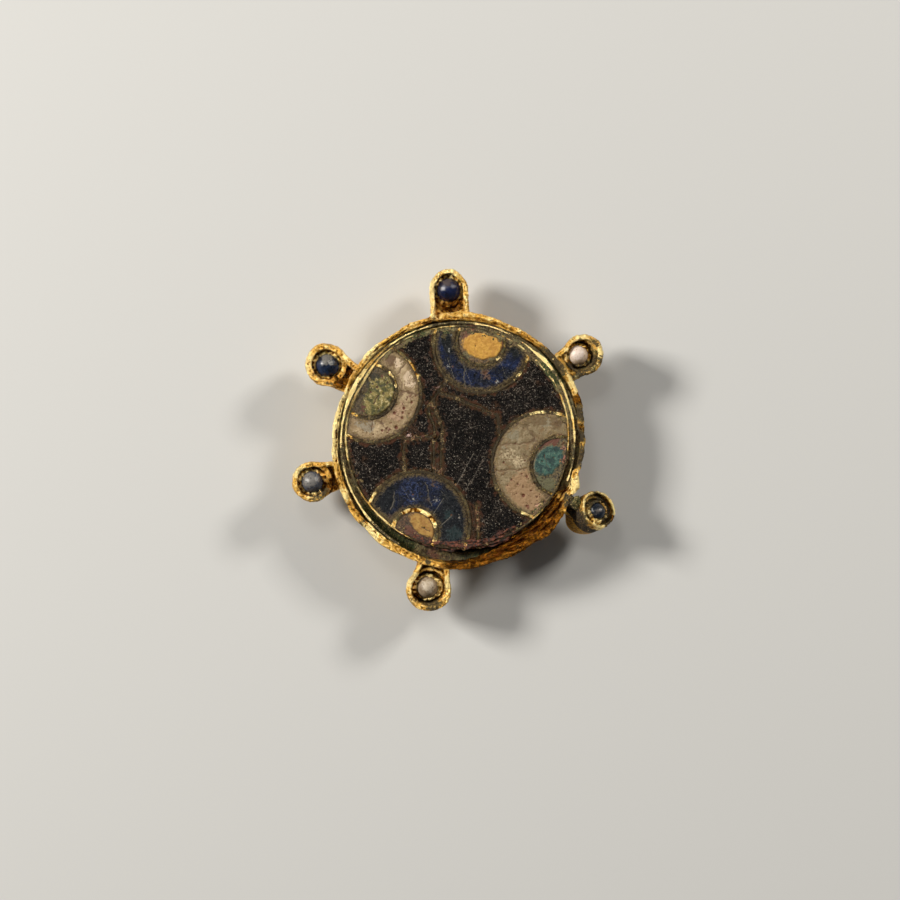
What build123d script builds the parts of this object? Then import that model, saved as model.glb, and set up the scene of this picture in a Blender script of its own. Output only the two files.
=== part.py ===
from build123d import *
from collections import namedtuple
from math import atan2, cos, degrees, radians, sin, tan
import os

# Gold disc brooch: a cloisonne enamel plaque in a beaten rim with six beaded collets, and a pin behind.
# Lengths are in millimetres. The origin is the centre of the back plate's rear face. +Z is the front
# and +Y is up as the brooch is worn.

# Setting: back plate, a rim that leans outward and a thin strip that stands inside it.
rim_radius = 10.0
rim_wave = 0.16
rim_band = 0.5
rim_wall = 0.35
rim_foot_inset = 0.58
rim_rise = 0.33
plate_thickness = 0.35
lean_azimuth = 317
lean_clearance = 0.28
strip_inset = 0.69
strip_wall = 0.10
strip_rise = 0.13
strip_up = 0.09
strip_open_from = 240
strip_open_to = 340

# Plaque: a gold tray with thin strips that part the enamel fields. It sits a little above the centre.
plaque_right = -0.10
plaque_up = 0.37
plaque_clearance = 0.17
tray_floor = 0.25
tray_wall = 0.12
cloison_width = 0.14
cloison_drop = 0.05
drop_radius = 0.18
enamel_thickness = 0.96
enamel_drop = 0.10
enamel_gap = 0.03
seat_gap = 0.03

# Collets: a loop of gold soldered to the rim, and in it a thin collar that holds a bead.
collet_drop = 0.10
collet_wall = 0.42
collar_wall = 0.14
groove_width = 0.30
collar_grip = 0.29
bead_radius = 0.90
bead_gap = 0.03

# Pin fitting: a pin between a hinge barrel and a hooked catch.
fitting_inset = 3.5
fitting_width = 3.4
pin_diameter = 0.9
pin_point = 0.9
pin_tip_diameter = 0.22
pin_sink = 0.05
cloth_gap = 0.85
barrel_wall = 0.35
foot_thickness = 0.35
hinge_foot_length = 2.4
hinge_web = 1.1
catch_length = 1.8
catch_lip = 2.45

# Radii and heights that follow from the sizes above.
strip_radius = rim_radius - strip_inset
plaque_radius = strip_radius - strip_wall - plaque_clearance - (plaque_up - strip_up)
tray_bottom = plate_thickness + seat_gap
enamel_bottom = tray_bottom + tray_floor + enamel_gap
plaque_top = enamel_bottom + enamel_thickness + enamel_drop
rim_height = plaque_top + rim_rise
collet_height = rim_height - collet_drop
pin_span = 2 * (rim_radius - fitting_inset)
pin_depth = cloth_gap + pin_diameter / 2
barrel_radius = pin_diameter / 2 + barrel_wall
fitting_depth = pin_depth + barrel_radius

# Rim at each azimuth. Wave is the outer edge's share of rim_wave, band the top edge's share of
# rim_band, and lean how much of the widest lean the foot takes.
RimSection = namedtuple("RimSection", "azimuth wave band lean")
rim_sections = [
    RimSection(0, -0.75, 0.86, 0.0),
    RimSection(20, 1.00, 1.20, 0.0),
    RimSection(45, 0.25, 1.08, 0.0),
    RimSection(65, 0.25, 1.08, 0.0),
    RimSection(85, 1.00, 1.16, 0.0),
    RimSection(102, 0.25, 1.08, 0.0),
    RimSection(120, -0.50, 0.92, 0.0),
    RimSection(138, 0.25, 1.08, 0.0),
    RimSection(160, -0.50, 0.96, 0.0),
    RimSection(190, -0.50, 0.96, 0.0),
    RimSection(215, 0.50, 1.10, 0.0),
    RimSection(237, -0.45, 0.96, 0.0),
    RimSection(255, -0.10, 0.96, 0.17),
    RimSection(272, 0.25, 0.92, 0.41),
    RimSection(290, -0.60, 0.80, 0.70),
    RimSection(302, -0.90, 0.76, 0.91),
    RimSection(317, 0.75, 0.92, 1.00),
    RimSection(333, -0.60, 0.84, 0.53),
    RimSection(348, -0.95, 0.86, 0.10),
]

# Four crescents about the plaque's centre. Distances and radii are shares of plaque_radius.
Crescent = namedtuple("Crescent", "name azimuth distance radius lunette_azimuth lunette_distance lunette_radius")
crescents = [
    Crescent("top", 75.7, 0.851, 0.428, 76.4, 0.883, 0.215),
    Crescent("right", -17.6, 0.817, 0.473, -15.6, 0.956, 0.263),
    Crescent("lower_left", 245.1, 0.853, 0.468, 245.4, 0.929, 0.196),
    Crescent("upper_left", 152.7, 0.861, 0.437, 152.5, 0.892, 0.243),
]

# Strips between the dark fields, each from end to end, as shares of plaque_radius from its centre. The left
# line carries a small gold drop.
ground_strips = {
    "top_line": [
        (-0.096, 0.519), (-0.185, 0.395), (-0.048, 0.363), (0.131, 0.288), (0.210, 0.261), (0.270, 0.220),
        (0.354, 0.204), (0.362, 0.172), (0.374, -0.007),
    ],
    "left_line": [
        (-0.185, 0.395), (-0.212, 0.342), (-0.262, 0.288), (-0.251, 0.193), (-0.214, 0.121), (-0.207, 0.054),
        (-0.208, 0.005), (-0.215, -0.113), (-0.209, -0.332),
    ],
    "middle_line": [
        (-0.212, 0.342), (-0.207, 0.273), (-0.179, 0.185), (-0.147, 0.113), (-0.140, 0.054), (-0.140, -0.024),
        (-0.150, -0.159), (-0.154, -0.356),
    ],
    "small_field_top": [(-0.208, 0.005), (-0.292, 0.007), (-0.398, -0.007), (-0.466, -0.016), (-0.516, 0.037)],
    "small_field_side": [(-0.466, -0.016), (-0.484, -0.131), (-0.471, -0.322)],
    "bottom_stub": [(0.168, -0.604), (0.177, -0.740), (0.188, -0.990)],
}
drop_spot = (-0.208, 0.005)

# A point in each dark field, as shares of plaque_radius from its centre.
ground_fields = {
    "ground_centre": (0.10, 0.00),
    "ground_upper_right": (0.645, 0.510),
    "ground_upper_left": (-0.364, 0.734),
    "ground_left": (-0.765, -0.292),
    "ground_small": (-0.354, -0.131),
    "ground_band": (-0.179, -0.060),
}

# Collets. Reach is a share of the loop's own radius, bead of bead_radius, wall of collet_wall, groove and
# the bead's two offsets of groove_width, neck's half width of the loop's radius, and web of collet_height.
Collet = namedtuple("Collet", "name azimuth reach bead wall groove bead_out bead_side neck lean lean_toward web")
collets = [
    Collet("top", 93.9, 1.227, 1.04, 1.00, 0.30, -0.50, 0.00, 0.97, 0, 0, 0),
    Collet("upper_left", 149.7, 1.154, 1.02, 1.25, 0.34, -0.30, 0.10, 0.76, 0, 0, 0),
    Collet("left", 195.1, 1.116, 0.97, 0.93, 0.78, 0.10, 0.10, 0.70, 0, 0, 0),
    Collet("bottom", 258.4, 0.939, 0.93, 1.10, 1.20, -0.25, -0.43, 0.78, 0, 0, 0),
    Collet("lower_right", 330.2, 0.936, 0.77, 0.85, 1.16, 0.15, -0.50, 0.00, 34, 55.7, 0.55),
    Collet("upper_right", 35.1, 1.127, 0.86, 0.90, 1.09, -1.04, 0.66, 0.82, 0, 0, 0),
]


def polar(azimuth, distance):
    """Point in the plane at an azimuth in degrees."""
    return (distance * cos(radians(azimuth)), distance * sin(radians(azimuth)))


def slab(outline, bottom, top):
    """Flat outline raised from one height to another."""
    return Pos(0, 0, bottom) * extrude(outline, top - bottom)


def plaque_reach(azimuth):
    """How far the plaque's edge stands from the disc's centre."""
    return plaque_radius + plaque_right * cos(radians(azimuth)) + plaque_up * sin(radians(azimuth))


def widest_lean():
    return rim_radius - rim_foot_inset - lean_clearance - plaque_reach(lean_azimuth)


def rim_face(radii, height):
    """Closed wavy outline at a height, with one radius for each rim section."""
    points = [polar(section.azimuth, radius) for section, radius in zip(rim_sections, radii)]
    return Pos(0, 0, height) * make_face(Spline(*points, periodic=True))


def rim_bodies():
    """Body within the rim's outer side, and the hollow within its inner side."""
    outer_top = [rim_radius + section.wave * rim_wave for section in rim_sections]
    inner_top = [radius - section.band * rim_band for radius, section in zip(outer_top, rim_sections)]
    inner_foot = [rim_radius - rim_foot_inset - section.lean * widest_lean() for section in rim_sections]
    outer_foot = [radius + rim_wall for radius in inner_foot]
    outer = loft([rim_face(outer_foot, 0), rim_face(outer_top, rim_height)], ruled=True)
    inner = loft([rim_face(inner_foot, plate_thickness), rim_face(inner_top, rim_height)], ruled=True)
    return outer, inner


def inner_strip():
    """Thin strip on edge inside the rim, open at the bottom of the disc."""
    ring = Circle(strip_radius) - Circle(strip_radius - strip_wall)
    far = 2 * rim_radius
    middle = (strip_open_from + strip_open_to) / 2
    corners = [(0, 0), polar(strip_open_from, far), polar(middle, far), polar(strip_open_to, far)]
    opening = make_face(Polyline(*corners, close=True))
    outline = Pos(plaque_right, strip_up) * (ring - opening)
    return slab(outline, plate_thickness, plaque_top + strip_rise)


def loop_radius(row):
    """Outer radius of a collet's loop, from its bead outward."""
    return row.bead * bead_radius + bead_gap + collar_wall + row.groove * groove_width + row.wall * collet_wall


def collet_distance(row):
    return rim_radius + row.reach * loop_radius(row)


def collet_upright(row):
    """Frame of a collet's foot, with X away from the disc's centre."""
    return Rot(0, 0, row.azimuth) * Pos(collet_distance(row), 0, 0)


def collet_leaning(row):
    """Frame of a collet with its lean."""
    return collet_upright(row) * Rot(0, 0, row.lean_toward) * Rot(0, row.lean, 0) * Rot(0, 0, -row.lean_toward)


def floor_level(radius, lean):
    """Height on a leaning axis at which a flat floor of this radius clears the back plate."""
    return (plate_thickness + radius * sin(radians(lean))) / cos(radians(lean))


def neck_length(row):
    return collet_distance(row) - (rim_radius - rim_foot_inset - widest_lean())


def loop_outline(row, inset):
    """Round loop whose sides run in to the rim, drawn inset by a wall."""
    radius = loop_radius(row) - inset
    outline = Circle(radius)
    if row.neck > 0:
        half = row.neck * loop_radius(row) - inset
        length = neck_length(row)
        corners = [(0, radius), (-length, half), (-length, -half), (0, -radius)]
        outline = outline + make_face(Polyline(*corners, close=True))
    return outline


def bead_seat(row):
    """Centre of a bead in its collet's frame, and its radius."""
    radius = row.bead * bead_radius
    height = floor_level(radius + bead_gap, row.lean) + bead_gap + radius
    return (row.bead_out * groove_width, row.bead_side * groove_width, height), radius


def collet_body(row):
    """Solid form of a collet before its hollow is cut."""
    radius = loop_radius(row)
    dip = radius * tan(radians(row.lean))
    body = collet_leaning(row) * slab(loop_outline(row, 0), -dip, collet_height)
    body = body + collet_upright(row) * slab(Circle(radius), 0, plate_thickness)
    if row.web > 0:
        length = neck_length(row)
        web = Pos(-length / 2, 0) * Rectangle(length, radius)
        body = body + collet_upright(row) * slab(web, 0, row.web * collet_height)
    side = 2 * rim_radius
    below = Pos(*polar(row.azimuth, collet_distance(row)), -side / 2) * Box(side, side, side)
    return body - below


def collet_hollow(row):
    """Groove round a collet's collar together with the space above the collar."""
    wall = row.wall * collet_wall
    inner = loop_outline(row, wall)
    centre, radius = bead_seat(row)
    above = collet_height + bead_radius
    collar = Pos(centre[0], centre[1]) * Circle(radius + bead_gap + collar_wall)
    groove = slab(inner - collar, floor_level(loop_radius(row) - wall, row.lean), above)
    collar_top = min(centre[2] + collar_grip, collet_height)
    return collet_leaning(row) * (groove + slab(inner, collar_top, above))


def bead_bore(row):
    """Round bore that a bead sits in."""
    centre, radius = bead_seat(row)
    bore = Pos(centre[0], centre[1]) * Circle(radius + bead_gap)
    floor = floor_level(radius + bead_gap, row.lean)
    return collet_leaning(row) * slab(bore, floor, collet_height + bead_radius)


def setting():
    """All the soldered gold of the mount in one solid."""
    rim, inside = rim_bodies()
    metal = rim
    for row in collets:
        metal = metal + collet_body(row)
    metal = metal - inside
    for row in collets:
        metal = metal - (collet_hollow(row) - rim) - bead_bore(row)
    return metal + inner_strip()


def bead(row):
    centre, radius = bead_seat(row)
    return collet_leaning(row) * Pos(*centre) * Sphere(radius)


def stroke(points, width):
    """Line of even width with round joints through points given as shares of plaque_radius."""
    shape = Sketch()
    spots = [Vector(x * plaque_radius, y * plaque_radius) for x, y in points]
    for start, end in zip(spots, spots[1:]):
        run = end - start
        middle = (start + end) * 0.5
        turn = degrees(atan2(run.Y, run.X))
        shape = shape + Pos(middle.X, middle.Y) * Rot(0, 0, turn) * Rectangle(run.length, width)
    for spot in spots:
        shape = shape + Pos(spot.X, spot.Y) * Circle(width / 2)
    return shape


def crescent_rings(row, width):
    """Round strips of a crescent and its lunette."""
    rings = Sketch()
    for azimuth, distance, radius in (
        (row.azimuth, row.distance, row.radius),
        (row.lunette_azimuth, row.lunette_distance, row.lunette_radius),
    ):
        x, y = polar(azimuth, distance * plaque_radius)
        middle = radius * plaque_radius
        rings = rings + Pos(x, y) * (Circle(middle + width / 2) - Circle(middle - width / 2))
    return rings


def inside_circle(azimuth, distance, radius):
    x, y = polar(azimuth, distance * plaque_radius)
    return Pos(x, y) * Circle(radius * plaque_radius)


def cloison_outline(width):
    """All the strips of the plaque seen from above, without those that a crescent hides."""
    lines = Sketch()
    for points in ground_strips.values():
        lines = lines + stroke(points, width)
    drop = Circle(drop_radius + (width - cloison_width) / 2)
    lines = lines + Pos(drop_spot[0] * plaque_radius, drop_spot[1] * plaque_radius) * drop
    for row in crescents:
        lines = lines - inside_circle(row.azimuth, row.distance, row.radius)
    for row in crescents:
        lines = lines + crescent_rings(row, width)
    return lines


def cloison_tray():
    """Tray of the plaque: floor, rim and strips."""
    inner = Circle(plaque_radius - tray_wall)
    floor_top = tray_bottom + tray_floor
    floor = slab(Circle(plaque_radius), tray_bottom, floor_top)
    wall = slab(Circle(plaque_radius) - inner, floor_top, plaque_top)
    strips = slab(cloison_outline(cloison_width) & inner, floor_top, plaque_top - cloison_drop)
    return Pos(plaque_right, plaque_up) * (floor + wall + strips)


def field_points():
    """A point inside each enamel field, by node name."""
    points = {}
    for row in crescents:
        near_wall = row.distance - row.radius
        near_lunette = row.lunette_distance - row.lunette_radius
        middle = (near_wall + near_lunette) / 2
        points[f"enamel_{row.name}_crescent"] = polar(row.azimuth, middle * plaque_radius)
        inside = row.lunette_distance - 0.5 * row.lunette_radius
        points[f"enamel_{row.name}_lunette"] = polar(row.lunette_azimuth, inside * plaque_radius)
    for name, (x, y) in ground_fields.items():
        points[name] = (x * plaque_radius, y * plaque_radius)
    return points


def enamel_fields():
    """Each enamel field as its own solid, clear of the strips by enamel_gap."""
    room = Circle(plaque_radius - tray_wall - enamel_gap)
    fields = room - cloison_outline(cloison_width + 2 * enamel_gap)
    solids = {}
    for name, (x, y) in field_points().items():
        for face in fields.faces():
            if face.is_inside((x, y, 0)):
                field = slab(face, enamel_bottom, enamel_bottom + enamel_thickness)
                solids[name] = Pos(plaque_right, plaque_up) * field
    return solids


def hinge_end():
    """Foot, web and round barrel at one end of the pin."""
    foot = slab(Rectangle(hinge_foot_length, fitting_width), -seat_gap - foot_thickness, -seat_gap)
    web = slab(Rectangle(hinge_web, fitting_width), -pin_depth, -seat_gap)
    barrel = Pos(0, 0, -pin_depth) * Rot(90, 0, 0) * Cylinder(barrel_radius, fitting_width)
    return foot + web + barrel


def catch_end():
    """Strip folded round under the pin's other end."""
    side = fitting_width / 2
    wall = barrel_wall + pin_sink
    foot_bottom = -seat_gap - foot_thickness
    lip_top = wall - fitting_depth
    profile = [
        (-side, -seat_gap), (side, -seat_gap), (side, foot_bottom), (wall - side, foot_bottom),
        (wall - side, lip_top), (catch_lip - side, lip_top), (catch_lip - side, -fitting_depth),
        (-side, -fitting_depth),
    ]
    return extrude(Plane.YZ * make_face(Polyline(*profile, close=True)), catch_length / 2, both=True)


def pin_fitting():
    """Pin, hinge barrel and catch in one plain piece under the back plate."""
    shaft_length = pin_span + catch_length / 2
    shaft_end = pin_span / 2 - shaft_length
    shaft = Pos(shaft_end + shaft_length / 2, 0, -pin_depth) * Rot(0, 90, 0)
    point = Pos(shaft_end - pin_point / 2, 0, -pin_depth) * Rot(0, -90, 0)
    pin = shaft * Cylinder(pin_diameter / 2, shaft_length)
    pin = pin + point * Cone(pin_diameter / 2, pin_tip_diameter / 2, pin_point)
    return Pos(pin_span / 2, 0, 0) * hinge_end() + Pos(-pin_span / 2, 0, 0) * catch_end() + pin


os.makedirs("parts", exist_ok=True)
export_step(setting(), "parts/setting.step")
export_step(cloison_tray(), "parts/cloison_tray.step")
for name, field in enamel_fields().items():
    export_step(field, f"parts/{name}.step")
for row in collets:
    export_step(bead(row), f"parts/bead_{row.name}.step")
export_step(pin_fitting(), "parts/pin_fitting.step")
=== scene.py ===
import math

import bpy
import numpy as np
from mathutils import Matrix, Vector
from mathutils.kdtree import KDTree


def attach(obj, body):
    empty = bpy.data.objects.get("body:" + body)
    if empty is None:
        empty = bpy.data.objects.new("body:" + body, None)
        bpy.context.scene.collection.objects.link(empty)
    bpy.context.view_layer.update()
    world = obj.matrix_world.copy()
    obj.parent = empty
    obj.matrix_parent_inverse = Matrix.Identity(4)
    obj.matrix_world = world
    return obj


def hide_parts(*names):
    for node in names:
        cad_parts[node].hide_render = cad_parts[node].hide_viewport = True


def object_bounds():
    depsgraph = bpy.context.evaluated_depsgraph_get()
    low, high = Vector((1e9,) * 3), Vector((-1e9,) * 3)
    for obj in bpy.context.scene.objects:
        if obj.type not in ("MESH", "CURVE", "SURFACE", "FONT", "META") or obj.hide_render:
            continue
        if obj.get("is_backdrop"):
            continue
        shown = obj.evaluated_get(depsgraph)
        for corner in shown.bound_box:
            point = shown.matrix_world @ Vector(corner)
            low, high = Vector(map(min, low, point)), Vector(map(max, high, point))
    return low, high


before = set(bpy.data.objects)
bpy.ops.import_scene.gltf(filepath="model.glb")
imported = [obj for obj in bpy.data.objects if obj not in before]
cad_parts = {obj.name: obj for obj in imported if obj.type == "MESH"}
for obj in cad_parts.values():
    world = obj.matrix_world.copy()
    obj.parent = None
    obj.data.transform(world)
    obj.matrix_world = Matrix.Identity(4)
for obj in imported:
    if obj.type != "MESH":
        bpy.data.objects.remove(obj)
cad_low, cad_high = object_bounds()

# Camera, table and lights. The brooch lies face up on a pale table and is seen from straight above, as on a
# copy stand. Two broad soft lights stand low at the left and the upper right, and the room gives a weak
# even fill.
picture_side = 0.0703125
camera_height = 0.42
camera_data = bpy.data.cameras.new("camera")
camera_data.sensor_width = 36
camera_data.lens = camera_data.sensor_width * (camera_height - 0.0017) / picture_side
camera_data.clip_start = 0.01
camera = bpy.data.objects.new("camera", camera_data)
camera.location = (-0.000703, -0.000625, camera_height)
bpy.context.scene.collection.objects.link(camera)
bpy.context.scene.camera = camera
bpy.context.scene.view_settings.view_transform = "Standard"

table_top = cad_low.z
bpy.ops.object.select_all(action="DESELECT")
bpy.ops.mesh.primitive_plane_add(size=3, location=(0, 0, table_top))
table = bpy.context.active_object
table.name = "table"
table_paint = bpy.data.materials.new("pale_table")
table_paint.use_nodes = True
table_shader = table_paint.node_tree.nodes["Principled BSDF"]
table_shader.inputs["Base Color"].default_value = (0.60, 0.61, 0.62, 1)
table_shader.inputs["Roughness"].default_value = 0.8
table.data.materials.append(table_paint)
table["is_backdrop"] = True

for light_name, azimuth, elevation, distance, wide, tall, power in (
    ("left_light", 160, 30, 0.42, 0.12, 0.08, 2.25),
    ("right_light", 38, 30, 0.42, 0.10, 0.07, 1.05),
    ("top_light", 110, 60, 0.50, 0.12, 0.12, 0.26),
):
    across = distance * math.cos(math.radians(elevation))
    spot = Vector((
        across * math.cos(math.radians(azimuth)),
        across * math.sin(math.radians(azimuth)),
        distance * math.sin(math.radians(elevation)),
    ))
    light_data = bpy.data.lights.new(light_name, "AREA")
    light_data.shape = "RECTANGLE"
    light_data.size = wide
    light_data.size_y = tall
    light_data.energy = power
    light_data.color = (1.0, 0.95, 0.86)
    light = bpy.data.objects.new(light_name, light_data)
    light.location = spot
    light.rotation_euler = (-spot).to_track_quat("-Z", "Y").to_euler()
    bpy.context.scene.collection.objects.link(light)

room = bpy.data.worlds.new("room")
room.use_nodes = True
room.node_tree.nodes["Background"].inputs["Color"].default_value = (1.0, 0.97, 0.92, 1)
room.node_tree.nodes["Background"].inputs["Strength"].default_value = 0.075
bpy.context.scene.world = room


# Back plate and rim. One sheet of gold is the back, and a band of sheet stands on it, beaten outward so
# that its edge waves. The lower right side leans most. Its top edge is folded over to a soft double line.
rim_edge = [
    # azimuth, outer edge, width of the folded edge
    (0, 9.89, 0.44), (5, 9.85, 0.44), (10, 9.88, 0.42), (15, 10.05, 0.50), (20, 10.12, 0.55),
    (30, 10.15, 0.48), (40, 10.10, 0.48), (50, 10.08, 0.42), (60, 9.97, 0.42), (70, 10.01, 0.52),
    (80, 10.14, 0.64), (90, 10.18, 0.68), (98, 10.14, 0.60), (105, 10.05, 0.50), (115, 10.01, 0.48),
    (120, 9.89, 0.42), (127, 9.95, 0.44), (135, 10.03, 0.50), (142, 9.95, 0.45), (150, 9.93, 0.42),
    (157.5, 9.76, 0.40), (161, 9.88, 0.45), (170, 9.92, 0.46), (180, 9.91, 0.46), (185, 10.00, 0.50),
    (205, 10.04, 0.50), (213, 10.10, 0.55), (219, 10.12, 0.60), (222, 9.98, 0.55), (226, 10.03, 0.60),
    (235, 10.05, 0.66), (240, 9.97, 0.62), (248, 9.92, 0.58), (255, 9.95, 0.50), (272, 10.01, 0.46),
    (280, 9.91, 0.42), (287, 9.85, 0.40), (291, 9.79, 0.38), (297, 9.87, 0.40), (302, 9.86, 0.40),
    (306, 9.80, 0.40), (310, 10.03, 0.42), (316, 10.08, 0.46), (321, 10.05, 0.46), (326, 9.96, 0.42),
    (331, 9.86, 0.38), (334, 9.74, 0.40), (336.5, 9.95, 0.50), (339, 10.10, 0.72), (342, 9.95, 0.72),
    (345, 9.64, 0.50), (348, 9.78, 0.42), (353, 9.84, 0.44),
]
rim_lip = [
    # azimuth, how clear the fold's inner lip is
    (0, 0.3), (30, 0.2), (60, 0.1), (98, 0.2), (106, 1.0), (134, 1.0), (142, 0.3), (158, 0.3), (166, 1.0),
    (182, 1.0), (190, 0.4), (215, 0.2), (240, 0.5), (262, 0.2), (300, 0.1), (345, 0.3),
]
rim_foot = [
    # azimuth, inward shift of the foot
    (0, 0.0), (237, 0.0), (255, 0.12), (272, 0.29), (290, 0.49), (302, 0.64), (317, 0.70), (333, 0.37),
    (348, 0.07),
]
rim_slump = [
    # azimuth, how far the inner wall has slumped in over the gap
    (0, 0.0), (272, 0.0), (284, 0.35), (298, 0.95), (330, 1.0), (338, 0.3), (343, 0.0),
]
rim_folds = [
    # azimuth, spread in degrees, push outward, push up
    (101.8, 1.0, 0.20, 0.10), (99.0, 0.8, -0.10, -0.06), (339.5, 3.0, 0.0, 0.04), (326.5, 1.2, 0.06, 0.05),
    (309.0, 1.6, -0.05, 0.03), (62.0, 1.6, 0.04, 0.03), (246.0, 1.4, 0.05, 0.04), (286.0, 2.2, -0.04, -0.03),
    (315.0, 1.0, 0.05, 0.04), (322.5, 0.8, -0.05, 0.0), (176.0, 2.0, 0.03, 0.02), (132.0, 2.0, 0.04, 0.02),
]


def points_of(piece):
    """A piece's points, one row each."""
    points = np.empty(len(piece.data.vertices) * 3)
    piece.data.vertices.foreach_get("co", points)
    return points.reshape(-1, 3)


def put_points(piece, points):
    piece.data.vertices.foreach_set("co", points.ravel())
    piece.data.update()


def take_up(piece):
    """Makes one piece the only selected and active one."""
    bpy.ops.object.select_all(action="DESELECT")
    piece.select_set(True)
    bpy.context.view_layer.objects.active = piece


def start_edit(piece, chosen=None):
    """Opens a piece for editing with the chosen points selected, or with all of them."""
    take_up(piece)
    bpy.ops.object.mode_set(mode="EDIT")
    bpy.ops.mesh.select_mode(type="VERT")
    bpy.ops.mesh.select_all(action="SELECT" if chosen is None else "DESELECT")
    if chosen is not None:
        bpy.ops.object.mode_set(mode="OBJECT")
        piece.data.vertices.foreach_set("select", chosen)
        bpy.ops.object.mode_set(mode="EDIT")


def finish_edit():
    bpy.ops.object.mode_set(mode="OBJECT")


def apply(piece, kind, **settings):
    """Adds a modifier with its settings and applies it."""
    take_up(piece)
    modifier = piece.modifiers.new(kind.lower(), kind)
    for setting, value in settings.items():
        setattr(modifier, setting, value)
    bpy.ops.object.modifier_apply(modifier=modifier.name)


def beat(piece, dents, where=None):
    """
    Dents a piece as a small hammer does, once for each size and depth of dents. Where says how much of it
    each point takes.
    """
    group = ""
    if where is not None:
        group = "beaten"
        weights = piece.vertex_groups.get(group) or piece.vertex_groups.new(name=group)
        for index, weight in enumerate(where):
            weights.add([index], float(weight), "REPLACE")
    for size, depth in dents:
        clouds = bpy.data.textures.new("dents", "CLOUDS")
        clouds.noise_scale = size
        clouds.noise_depth = 1
        apply(
            piece, "DISPLACE", texture=clouds, texture_coords="LOCAL", strength=depth, mid_level=0.5,
            vertex_group=group,
        )


def weld(piece, reach=0.001):
    """Closes a piece's seams and turns its faces outward."""
    start_edit(piece)
    bpy.ops.mesh.remove_doubles(threshold=reach)
    bpy.ops.mesh.normals_make_consistent(inside=False)
    finish_edit()


def note(piece, name, values):
    """Writes a value on each of a piece's points, for its material to read."""
    layer = piece.data.attributes.new(name, "FLOAT", "POINT")
    layer.data.foreach_set("value", values.astype(np.float32))


smoothings = 8
full_crest = 0.03
sharp_edge = 50


def note_crests(piece):
    """Notes how far each point stands out from what lies round it, from -1 in a hollow to 1 on a crest."""
    edges = np.empty(len(piece.data.edges) * 2, dtype=np.int32)
    piece.data.edges.foreach_get("vertices", edges)
    first, second = edges.reshape(-1, 2).T
    points = points_of(piece)
    many = len(points)
    beside = 1 + np.bincount(first, minlength=many) + np.bincount(second, minlength=many)
    soft = points.copy()
    for _ in range(smoothings):
        for axis in range(3):
            column = soft[:, axis]
            from_beside = np.bincount(first, column[second], many), np.bincount(second, column[first], many)
            soft[:, axis] = (column + from_beside[0] + from_beside[1]) / beside
    normals = np.empty(many * 3)
    piece.data.vertex_normals.foreach_get("vector", normals)
    stands = ((points - soft) * normals.reshape(-1, 3)).sum(axis=1)
    note(piece, "crest", np.clip(stands / full_crest, -1, 1))


def hand_over(piece, name, finish, slot, *nodes):
    """Shrinks a piece from millimetres to metres, gives it its finish and sets it on the frame."""
    note_crests(piece)
    piece.name = name
    piece.data.transform(Matrix.Scale(0.001, 4))
    piece.data.materials.clear()
    piece.data.materials.append(finish)
    take_up(piece)
    bpy.ops.object.shade_smooth_by_angle(angle=math.radians(sharp_edge))
    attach(piece, "root")
    if nodes:
        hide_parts(*nodes)


def around(points):
    """Each point's azimuth in degrees and its distance from the middle."""
    return np.degrees(np.arctan2(points[:, 1], points[:, 0])), np.hypot(points[:, 0], points[:, 1])


def fresh(add, location=(0, 0, 0), scale=(1, 1, 1), **settings):
    """A new primitive, with its place and scale in its mesh."""
    bpy.ops.object.select_all(action="DESELECT")
    add(location=location, **settings)
    piece = bpy.context.active_object
    piece.scale = scale
    bpy.ops.object.transform_apply(location=True, rotation=False, scale=True)
    return piece


def pull_out(rings):
    """Pulls the selected edge on from ring to ring, each given as its radius and height."""
    for (radius, height), (next_radius, next_height) in zip(rings, rings[1:]):
        share = next_radius / radius
        bpy.ops.mesh.extrude_region()
        bpy.ops.transform.resize(value=(share, share, 1), center_override=(0, 0, height))
        bpy.ops.transform.translate(value=(0, 0, next_height - height))


def turned(rings, steps):
    """A closed round form, made from a small disc by pulling its edge out ring by ring."""
    radius, height = rings[0]
    disc = {"vertices": steps, "radius": radius, "fill_type": "TRIFAN"}
    piece = fresh(bpy.ops.mesh.primitive_circle_add, (0, 0, height), **disc)
    start_edit(piece, around(points_of(piece))[1] > 0.5 * radius)
    pull_out(rings)
    bpy.ops.mesh.extrude_region()
    bpy.ops.mesh.merge(type="CENTER")
    finish_edit()
    weld(piece, 0.0001)
    return piece


def turn_from(azimuth, middle):
    """Degrees from the middle azimuth, -180 to 180."""
    return (azimuth - middle + 180) % 360 - 180


def round_table(azimuth, rows, column=1):
    """A column of a table of azimuths, read at any azimuth."""
    return np.interp(azimuth, [row[0] for row in rows], [row[column] for row in rows], period=360)


rim_top = 2.0
back_rings = [(r, 0.0) for r in (0.6, 1.8, 3.0, 4.2, 5.4, 6.6, 7.7, 8.6, 9.3, 9.6)]
outer_rings = [(9.70, 0.02), (9.76, 0.08)]
outer_rings += [(9.77 + 0.13 * t, 0.16 + 1.62 * t) for t in np.linspace(0, 1, 15)]
edge_rings = [
    (9.93, 1.83), (9.96, 1.88), (9.975, 1.93), (9.968, 1.975), (9.94, 2.01), (9.90, 2.03), (9.85, 2.04),
    (9.80, 2.045), (9.75, 2.04), (9.705, 2.02), (9.67, 1.985), (9.645, 1.95), (9.62, 1.945), (9.60, 1.96),
    (9.575, 1.975), (9.545, 1.97), (9.52, 1.94), (9.50, 1.90), (9.49, 1.85),
]
inner_rings = [(9.485 - 0.065 * t, 1.8 - 1.4 * t) for t in np.linspace(0, 1, 18)]
floor_rings = [(9.39, 0.36), (9.3, 0.35), (9.0, 0.35), (6.0, 0.35), (3.0, 0.35), (0.6, 0.35)]
rim = turned(back_rings + outer_rings + edge_rings + inner_rings + floor_rings, 720)

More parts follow.
